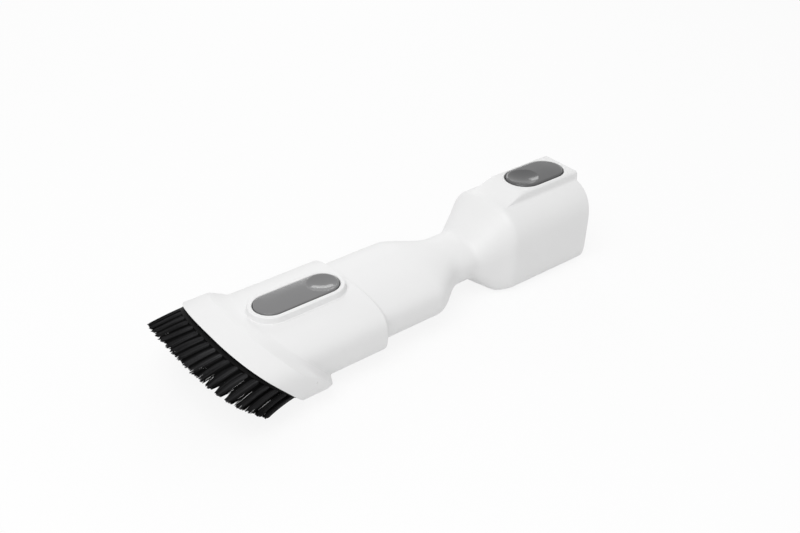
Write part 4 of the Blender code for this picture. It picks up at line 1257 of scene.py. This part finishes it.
class MESH_OT_collar(bpy.types.Operator):
    """Sliding collar with its slanted flange and the boss round the button"""

    bl_idname = "mesh.nozzle_collar"
    bl_label = "Brush collar"

    def execute(self, context):
        every = context.scene.brush_nozzle
        collar, button = every.collar, every.button
        made = as_piece(
            "collar_moulding",
            skin(self.outside(collar) + self.inside(every), closed=True),
            every.middle,
            white_plastic(every),
            "brush_carriage",
            "white_plastic",
            "brush_collar",
        )
        boss_top = button.top - collar.boss_drop
        well = pill_shape(
            [(0, every.nozzle.top - collar.groove_depth), (0, button.top)],
            button.half_width + button.gap - collar.ledge_width,
            button.start + button.gap,
            button.start + button.size - collar.ledge_width,
        )
        pivot = (0, button.pivot, button.pivot_height)
        gap = every.socket.seat_gap
        sockets = rod_shape(button.trunnion + gap, button.trunnion_reach + gap, pivot)
        mark = dish_shape(collar.gate_radius, collar.gate_radius, collar.gate_mark, 24)
        combine(
            made,
            every.middle,
            ("UNION", self.boss(collar, button, boss_top)),
            ("DIFFERENCE", window_shape(button, collar.ledge, boss_top)),
            ("DIFFERENCE", well),
            ("DIFFERENCE", sockets),
            ("DIFFERENCE", mark),
        )
        return {"FINISHED"}

    def outside(self, collar):
        """Rings of the outer skin, from the lip to the rear edge."""
        set_back = lip_set_back(collar)
        edge = collar.flange_edge
        slope_foot = collar.band + collar.slope
        outer = plain_ring(flange_section(collar))
        sleeve = plain_ring(collar_section(collar))
        rings = [
            flange_ring(collar, drop, inset / 2) for inset, drop in reversed(quarter(edge))
        ]
        rings.append(flange_ring(collar, collar.band / 2))
        for part in steps(0, 1, SLOPE_RINGS):
            sink = mix(ease(part), 1 - (1 - part) ** 2, collar.slope_brow)
            late = ease((part - collar.side_lag) / (1 - collar.side_lag))
            between = []
            for (xa, za), (xb, zb) in zip(outer, sleeve):
                over = (za / collar.flange_top - collar.lag_end) / collar.lag_blend
                narrow = mix(late, sink, ease(over))
                between.append((mix(xa, xb, narrow), mix(za, zb, sink)))
            y = mix(collar.band - edge, slope_foot + edge, part)
            rings.append(placed(between, y, set_back))
        rings.append(placed(sleeve, slope_foot + collar.slant))
        for inset, drop in quarter(collar.edge):
            section = collar_section(collar, inset)
            rings.append(placed(plain_ring(section), collar.rear - drop))
        return rings

    def inside(self, every):
        """Rings of the bore, the mouth and the brush groove, from the rear edge."""
        collar, nozzle = every.collar, every.nozzle
        set_back = lip_set_back(collar)
        edge = collar.flange_edge
        groove_inner = collar.lip_wall + collar.groove_width
        power = collar.mouth_power
        bore = plain_ring(body_section(nozzle, nozzle.recess, -collar.slide_gap))
        mouth_top = nozzle.top + collar.slide_gap
        mouth = plain_ring(
            (collar.mouth_half_width, mouth_top, collar.mouth_floor, power, power)
        )
        return [
            placed(bore, collar.rear),
            placed(bore, collar.band + collar.slope + collar.slant),
            placed(bore, collar.flare_end, set_back),
            placed(mouth, collar.mouth_depth, set_back),
            placed(mouth, edge, set_back),
            flange_ring(collar, edge, groove_inner),
            flange_ring(collar, collar.groove_depth, groove_inner),
            flange_ring(collar, collar.groove_depth, collar.lip_wall),
            flange_ring(collar, edge, collar.lip_wall),
        ]

    def boss(self, collar, button, boss_top):
        """The raised ring round the button, with a fillet at its foot."""
        slope, foot, edge = collar.boss_slope, collar.boss_foot, collar.boss_edge
        levels = [(-slope - foot, collar.ledge), (-slope - foot, collar.top - foot / 4)]
        for angle in steps(0, math.pi / 3, 6):
            out = slope + foot * (1 - math.sin(angle))
            levels.append((-out, collar.top - foot / 6 + foot * (1 - math.cos(angle))))
        for angle in steps(math.pi / 6, math.pi / 2, 6):
            levels.append((edge * (1 - math.cos(angle)), boss_top - edge * (1 - math.sin(angle))))
        margin = button.gap + collar.boss_wall
        end = button.start + button.size + margin
        return pill_shape(levels, button.half_width + margin, button.start - margin, end)


class MESH_OT_collar_button(bpy.types.Operator):
    """Grey rocking button of the collar with its thumb dish"""

    bl_idname = "mesh.nozzle_collar_button"
    bl_label = "Collar button"

    def execute(self, context):
        every = context.scene.brush_nozzle
        button = every.button
        made = as_piece(
            "collar_button_cap",
            cap_shape(button),
            every.middle,
            button_plastic(every),
            "collar_rocker",
            "button_grey",
            "collar_button",
        )
        dish_y = button.start + button.size - button.half_width
        centre = (0, dish_y, button.top + button.crown / 2)
        pivot = (0, button.pivot, button.pivot_height)
        tooth = block_shape(
            (-button.tooth_half_width, button.tooth_start, button.tooth_tip),
            (
                button.tooth_half_width,
                button.tooth_start + button.tooth_size,
                button.pivot_height,
            ),
        )
        combine(
            made,
            every.middle,
            ("DIFFERENCE", dish_shape(button.dish_radius, button.dish_depth, centre)),
            ("UNION", rod_shape(button.trunnion, button.trunnion_reach, pivot)),
            ("UNION", tooth),
        )
        return {"FINISHED"}


class MESH_OT_brush_backing(bpy.types.Operator):
    """Black backing that holds the tufts in the groove of the flange"""

    bl_idname = "mesh.nozzle_brush_backing"
    bl_label = "Brush backing"

    def execute(self, context):
        every = context.scene.brush_nozzle
        collar, bristles = every.collar, every.bristles
        set_back = lip_set_back(collar)
        outer, inner = groove_sides(every)

        def front(inset, back):
            section = flange_section(collar, inset)
            points = []
            for x, z in plain_ring(section):
                angle = angle_of(x, z, *section)
                from_top = abs(math.remainder(angle - math.pi / 2, math.tau))
                limit = bristles.end - math.pi / 2 + bristles.clear
                past = ease((from_top - limit) / bristles.clear + 1)
                high = lip_place(collar, angle) - bristles.front
                low = set_back(z) + bristles.low_front
                points.append(Vector((x, mix(high, low, past) + back, z)))
            return points

        round_off = (inner - outer) / 4
        rings = [flange_ring(collar, bristles.rear, inner)]
        rings += [front(inner - i, d) for i, d in quarter(round_off, 3)]
        rings += [front(outer + i, d) for i, d in reversed(quarter(round_off, 3))]
        rings.append(flange_ring(collar, bristles.rear, outer))
        as_piece(
            "brush_backing",
            skin(rings, closed=True),
            every.middle,
            backing_plastic(every),
            "brush_carriage",
            "backing_plastic",
            "brush_ring",
        )
        return {"FINISHED"}


def groove_sides(every):
    """Insets of the outer and the inner side of what stands in the brush groove."""
    collar, gap = every.collar, every.bristles.side_gap
    return collar.lip_wall + gap, collar.lip_wall + collar.groove_width - gap


def lip_place(collar, angle):
    """How far the lip's outer edge lies behind its foremost point, by angle."""
    return lip_set_back(collar)(rounded(angle, *flange_section(collar))[1])


def lip_arc(collar, bristles, inset, dense=600):
    """Angles and running lengths along the arc of the lip that holds tufts."""
    set_back = lip_set_back(collar)
    section = flange_section(collar, inset)
    angles = steps(bristles.start, bristles.end, dense)
    runs, last = [], None
    for angle in angles:
        x, z = rounded(angle, *section)
        point = Vector((x, set_back(z), z))
        runs.append(runs[-1] + (point - last).length if runs else 0.0)
        last = point
    return angles, runs


def angle_at(angles, runs, run):
    """The angle at a running length along the arc."""
    run = min(max(run, 0), runs[-1])
    k = 1
    while k < len(runs) - 1 and runs[k] < run:
        k += 1
    return mix(angles[k - 1], angles[k], (run - runs[k - 1]) / (runs[k] - runs[k - 1]))


def nozzle_top(nozzle, x):
    """Height of the nozzle tube's outside over x, or far below beside the tube."""
    share_out = abs(x) / nozzle.half_width
    if share_out >= 1:
        return -1.0
    middle = (nozzle.top + nozzle.bottom) / 2
    return middle + (nozzle.top - middle) * (1 - share_out**nozzle.power) ** (1 / nozzle.power)


def eased_above(value, lowest, bend):
    """A value kept above the lowest one, without a kink."""
    over = (value - lowest) / bend
    if over > FAR_ABOVE:
        return value
    return lowest + bend * math.log1p(math.exp(over))


def add_strand(bm, tone_and_shade_layer, path, bristles, tone):
    """One bristle along a path, four-sided and thinner towards its tip."""
    ring = None
    for k, point in enumerate(path):
        part = k / (len(path) - 1)
        size = bristles.radius * mix(1, bristles.taper, part)
        corners = [
            point + Vector((size * math.cos(a), 0, size * math.sin(a))) for a in STRAND_CORNERS
        ]
        ring = next_ring(bm, ring, corners) if ring else first_ring(bm, corners)
        for vert in ring:
            vert[tone_and_shade_layer] = tone * mix(bristles.root_tone, bristles.tip_tone, part)
    loop = [bm.edges.get(pair) for pair in zip(ring, ring[1:] + ring[:1])]
    bmesh.ops.contextual_create(bm, geom=loop)


class MESH_OT_bristle_tufts(bpy.types.Operator):
    """Tufts of black nylon bristles along the upper arc of the lip"""

    bl_idname = "mesh.nozzle_bristle_tufts"
    bl_label = "Bristle tufts"

    def execute(self, context):
        every = context.scene.brush_nozzle
        arc = lip_arc(every.collar, every.bristles, sum(groove_sides(every)) / 2)
        for tuft in range(every.bristles.tufts):
            label = f"{tuft + 1:02d}"
            as_piece(
                f"bristles_{label}",
                self.tuft_shape(every, arc, tuft),
                every.middle,
                bristle_nylon(every),
                "brush_carriage",
                "bristle_nylon",
                f"tuft_{label}",
                sharp=80,
            )
        return {"FINISHED"}

    def tuft_shape(self, every, arc, tuft):
        """Lower rows that close the curtain, and a bundle of clumps on them."""
        collar, bristles = every.collar, every.bristles
        chance = random.Random(100 + tuft)
        bm = bmesh.new()
        # Each bristle's tone: random tone mixed with painted shade
        tone_and_shade_layer = bm.verts.layers.float.new("tone")
        along_arc = (tuft + 0.5) / bristles.tufts
        near_end, far_end = max(1 - 2 * along_arc, 0) ** 2, ease(4 * along_arc - 2)
        worn = bristles.worn * near_end + bristles.far_worn * far_end
        sunk = bristles.far_sunk * far_end - bristles.lifted * near_end
        parted = max(1 - abs(along_arc - bristles.parted) / bristles.parted_width, 0)
        narrow = 1 - bristles.parting * ease(3 * parted)
        lean = chance.gauss(0, bristles.lean)
        clumps = self.clumps(bristles, chance)
        lower = round(bristles.strands * bristles.under_share)
        for strand in range(bristles.strands):
            if strand < lower:
                across = (strand + chance.random()) / lower - 0.5
                depth = chance.uniform(bristles.middle_row, bristles.lower_row)
                pull = chance.uniform(0, bristles.under_pull)
                width, tip_width = bristles.under_root_share, bristles.under_tip_share
                # Painted shade: the lower rows take a nearly black tone in place of the shadow of
                # the upper rows
                sideways, rounding, tone = 0, 0, bristles.under_painted_shade
            else:
                across = chance.uniform(-0.5, 0.5)
                off = (2 * across) ** 2
                depth = chance.uniform(bristles.upper_row, bristles.middle_row)
                depth = mix(depth, bristles.middle_row, bristles.row_arch * off)
                pull = chance.uniform(bristles.least_pull, bristles.most_pull)
                width, tip_width = bristles.root_share, bristles.tip_share
                sideways, rounding = lean, bristles.root_round * off
                # Painted shade: the outer bristles of a tuft are darker than its middle, so the
                # gaps between tufts look shaded
                tone = bristles.upper_tone - bristles.edge_painted_shade * off**2
                # Painted shade: the tufts at the +X end are darkened
                tone -= bristles.near_painted_shade * near_end
            clump = min(clumps, key=lambda one: abs(one[0] - across))
            places = (across * width, mix(across, clump[0], pull) * tip_width * narrow + sideways)
            tip_depth = mix(depth, clump[1], pull * bristles.depth_pull)
            uneven = bristles.clump_uneven * clump[2]
            uneven += bristles.strand_uneven * chance.random() ** 2
            root = self.root(every, arc, tuft, places[0], depth, rounding)
            side = min(abs(root.x) / collar.flange_half_width, 1)
            drop = mix(bristles.droop_middle, bristles.droop_side, side**2) + sunk
            reach = bristles.reach - bristles.uneven * uneven - worn
            ends = self.ends(every, arc, tuft, places, tip_depth, reach)
            arch = drop * (1 - bristles.far_straight * far_end)
            path = self.path(every, root, ends, drop, arch, chance)
            spread = bristles.tone_spread
            tone *= chance.uniform(1 - spread, 1 + spread) * clump[3]
            add_strand(bm, tone_and_shade_layer, path, bristles, tone)
        bmesh.ops.recalc_face_normals(bm, faces=bm.faces)
        return bm

    def clumps(self, bristles, chance):
        """Clumps of a tuft: place across it, row, shortening and tone."""
        found = []
        shift, height, tone = bristles.clump_shift, bristles.clump_height, bristles.clump_tone
        for k in range(bristles.clumps):
            across = (k + 0.5) / bristles.clumps - 0.5 + chance.uniform(-shift, shift)
            row = bristles.middle_row + chance.uniform(-height, height)
            found.append((across, row, chance.random(), chance.uniform(1 - tone, 1 + tone)))
        return found

    def lip_point(self, every, arc, tuft, across, inset):
        """Angle, x and z of a place across a tuft, at an inset of the flange."""
        angles, runs = arc
        pitch = runs[-1] / every.bristles.tufts
        angle = angle_at(angles, runs, pitch * (tuft + 0.5) + across * pitch)
        return angle, *rounded(angle, *flange_section(every.collar, inset))

    def root(self, every, arc, tuft, across, depth, rounding):
        """Where a bristle leaves the backing."""
        bristles = every.bristles
        outer, inner = groove_sides(every)
        held = mix(outer + bristles.low_in_groove, inner, depth)
        angle, x, z = self.lip_point(every, arc, tuft, across, held)
        y = lip_place(every.collar, angle) - bristles.front + bristles.sink - rounding
        return Vector((x, y, z))

    def ends(self, every, arc, tuft, places, depth, reach):
        """Ends of a bristle before it droops: without its lean, and with it."""
        collar, bristles = every.collar, every.bristles
        set_back = lip_set_back(collar)
        outer, inner = groove_sides(every)
        fan = mix(outer - bristles.fan_up, inner + bristles.fan_down, depth)
        foremost = set_back(collar.flange_top - (outer + inner) / 2)
        found = []
        for across in places:
            _, x, z = self.lip_point(every, arc, tuft, across, fan)
            found.append(Vector((x, set_back(z) - foremost - reach, z)))
        return found

    def path(self, every, root, ends, drop, arch, chance):
        """A bristle from its root, drooping, swaying and clear of the nozzle tube."""
        bristles = every.bristles
        outward = Vector((ends[1].x, 0, ends[1].z - every.collar.flange_top / 2)).normalized()
        along = Vector((-outward.z, 0, outward.x))
        sway = along * chance.gauss(0, bristles.sway_along)
        sway += outward * chance.gauss(0, bristles.sway_out)
        for end in ends:
            end.x += end.x * bristles.splay
            end.z -= drop
        points = []
        for t in steps(0, 1, PATH_PIECES):
            point = root.lerp(ends[0].lerp(ends[1], t**3), t)
            point.z += arch * t * (1 - t)
            point += sway * 4 * t * (1 - t)
            lowest = nozzle_top(every.nozzle, point.x) + bristles.off_nozzle
            raised = eased_above(point.z, lowest, bristles.bend)
            point.z = mix(point.z, raised, min(2 * t, 1))
            points.append(point)
        return points


class SCENE_OT_nozzle_stage(bpy.types.Operator):
    """Floor, soft light and camera"""

    bl_idname = "scene.nozzle_stage"
    bl_label = "Stage"

    def execute(self, context):
        every = context.scene.brush_nozzle
        stage = every.stage
        bm = bmesh.new()
        bmesh.ops.create_grid(bm, x_segments=2, y_segments=2, size=stage.floor_reach)
        bmesh.ops.translate(bm, verts=bm.verts, vec=(0, every.middle, -stage.floor_drop))
        floor = as_object("floor", bm, every.middle)
        floor.data.materials.append(self.floor_material(every))
        self.world(context.scene, stage)
        size = (stage.overhead_size, stage.overhead_size)
        self.lamp("overhead", stage.overhead_place, stage.overhead_aim, size, stage.overhead)
        size = (stage.rear_width, stage.rear_height)
        self.lamp("rear", stage.rear_place, stage.rear_aim, size, stage.rear)
        self.camera(context.scene, stage)
        context.scene.view_settings.view_transform = "Standard"
        return {"FINISHED"}

    def world(self, scene, stage):
        """Even light from all round, which the camera sees as white."""
        world = scene.world or bpy.data.worlds.new("studio")
        scene.world = world
        world.use_nodes = True
        nodes, links = world.node_tree.nodes, world.node_tree.links
        nodes.clear()
        output = nodes.new("ShaderNodeOutputWorld")
        path = nodes.new("ShaderNodeLightPath")
        choice = nodes.new("ShaderNodeMixShader")
        links.new(self.seen_white(nodes, links, path), choice.inputs["Fac"])
        for socket, strength in ((1, stage.world), (2, 1)):
            light = nodes.new("ShaderNodeBackground")
            light.inputs["Color"].default_value = (1, 1, 1, 1)
            light.inputs["Strength"].default_value = strength
            links.new(light.outputs[0], choice.inputs[socket])
        links.new(choice.outputs[0], output.inputs["Surface"])

    def camera(self, scene, stage):
        azimuth, elevation = stage.azimuth, stage.elevation
        across, up = math.cos(elevation), math.sin(elevation)
        back = Vector((math.sin(azimuth) * across, -math.cos(azimuth) * across, up))
        camera = bpy.data.objects.new("camera", bpy.data.cameras.new("camera"))
        camera.data.lens = stage.lens
        camera.data.sensor_width = SENSOR_WIDTH
        camera.data.clip_start = CLIP_START
        camera.location = Vector(stage.aim) + back * stage.distance
        camera.rotation_euler = (-back).to_track_quat("-Z", "Y").to_euler()
        scene.collection.objects.link(camera)
        scene.camera = camera

    def seen_white(self, nodes, links, path):
        """One for what the camera sees, by itself or in gloss or through glass."""
        seen = path.outputs["Is Camera Ray"]
        for kind in ("Is Glossy Ray", "Is Transmission Ray"):
            either = nodes.new("ShaderNodeMath")
            either.operation = "MAXIMUM"
            links.new(seen, either.inputs[0])
            links.new(path.outputs[kind], either.inputs[1])
            seen = either.outputs[0]
        return seen

    def floor_material(self, every):
        """Pale floor with faint clouds, lighter where the camera sees it."""
        material = moulding(
            "floor_pale",
            every.finishes.floor,
            gloss=0.8,
            spread=0.05,
            cloud=0.02,
            cloud_scale=3,
            grain=60,
            depth=1e-5,
        )
        nodes, links = material.node_tree.nodes, material.node_tree.links
        path = nodes.new("ShaderNodeLightPath")
        glow = nodes.new("ShaderNodeEmission")
        choice = nodes.new("ShaderNodeMixShader")
        amount = nodes.new("ShaderNodeMath")
        amount.operation = "MULTIPLY"
        amount.inputs[1].default_value = every.stage.glow
        links.new(self.seen_white(nodes, links, path), amount.inputs[0])
        links.new(amount.outputs[0], choice.inputs["Fac"])
        links.new(nodes["Principled BSDF"].outputs[0], choice.inputs[1])
        links.new(glow.outputs[0], choice.inputs[2])
        links.new(choice.outputs[0], nodes["Material Output"].inputs["Surface"])
        return material

    def lamp(self, name, position, target, size, watts):
        lamp = bpy.data.objects.new(name, bpy.data.lights.new(name, "AREA"))
        lamp.data.shape = "RECTANGLE"
        lamp.data.size, lamp.data.size_y = size
        lamp.data.energy = watts
        lamp.location = position
        aim = Vector(target) - Vector(position)
        lamp.rotation_euler = aim.to_track_quat("-Z", "Y").to_euler()
        bpy.context.scene.collection.objects.link(lamp)


OPERATORS = (
    MESH_OT_nozzle_body,
    MESH_OT_socket_lining,
    MESH_OT_seal_ring,
    MESH_OT_release_key,
    MESH_OT_springs,
    MESH_OT_inner_parts,
    MESH_OT_collar,
    MESH_OT_collar_button,
    MESH_OT_brush_backing,
    MESH_OT_bristle_tufts,
    SCENE_OT_nozzle_stage,
)


class VIEW3D_PT_brush_nozzle(bpy.types.Panel):
    """Settings and pieces of the brush nozzle"""

    bl_idname = "VIEW3D_PT_brush_nozzle"
    bl_label = "Brush nozzle"
    bl_space_type = "VIEW_3D"
    bl_region_type = "UI"
    bl_category = "Brush nozzle"

    def draw(self, context):
        every = context.scene.brush_nozzle
        for operator in OPERATORS:
            self.layout.operator(operator.bl_idname)
        self.layout.prop(every, "middle")
        for group in (
            every.nozzle,
            every.collar,
            every.button,
            every.key,
            every.socket,
            every.bristles,
            every.finishes,
            every.stage,
        ):
            box = self.layout.box()
            box.label(text=type(group).__doc__)
            for name in type(group).__annotations__:
                box.prop(group, name)


CLASSES = (
    NozzleSizes,
    CollarSizes,
    ButtonSizes,
    KeySizes,
    SocketSizes,
    BristleSizes,
    Finishes,
    StageSizes,
    BrushNozzle,
    *OPERATORS,
    VIEW3D_PT_brush_nozzle,
)


def register():
    for cls in CLASSES:
        bpy.utils.register_class(cls)
    bpy.types.Scene.brush_nozzle = PointerProperty(type=BrushNozzle)


def unregister():
    del bpy.types.Scene.brush_nozzle
    for cls in reversed(CLASSES):
        bpy.utils.unregister_class(cls)


def main():
    register()
    bpy.ops.mesh.nozzle_body()
    bpy.ops.mesh.nozzle_socket_lining()
    bpy.ops.mesh.nozzle_seal_ring()
    bpy.ops.mesh.nozzle_release_key()
    bpy.ops.mesh.nozzle_springs()
    bpy.ops.mesh.nozzle_inner_parts()
    bpy.ops.mesh.nozzle_collar()
    bpy.ops.mesh.nozzle_collar_button()
    bpy.ops.mesh.nozzle_brush_backing()
    bpy.ops.mesh.nozzle_bristle_tufts()
    bpy.ops.scene.nozzle_stage()


if __name__ == "__main__":
    main()
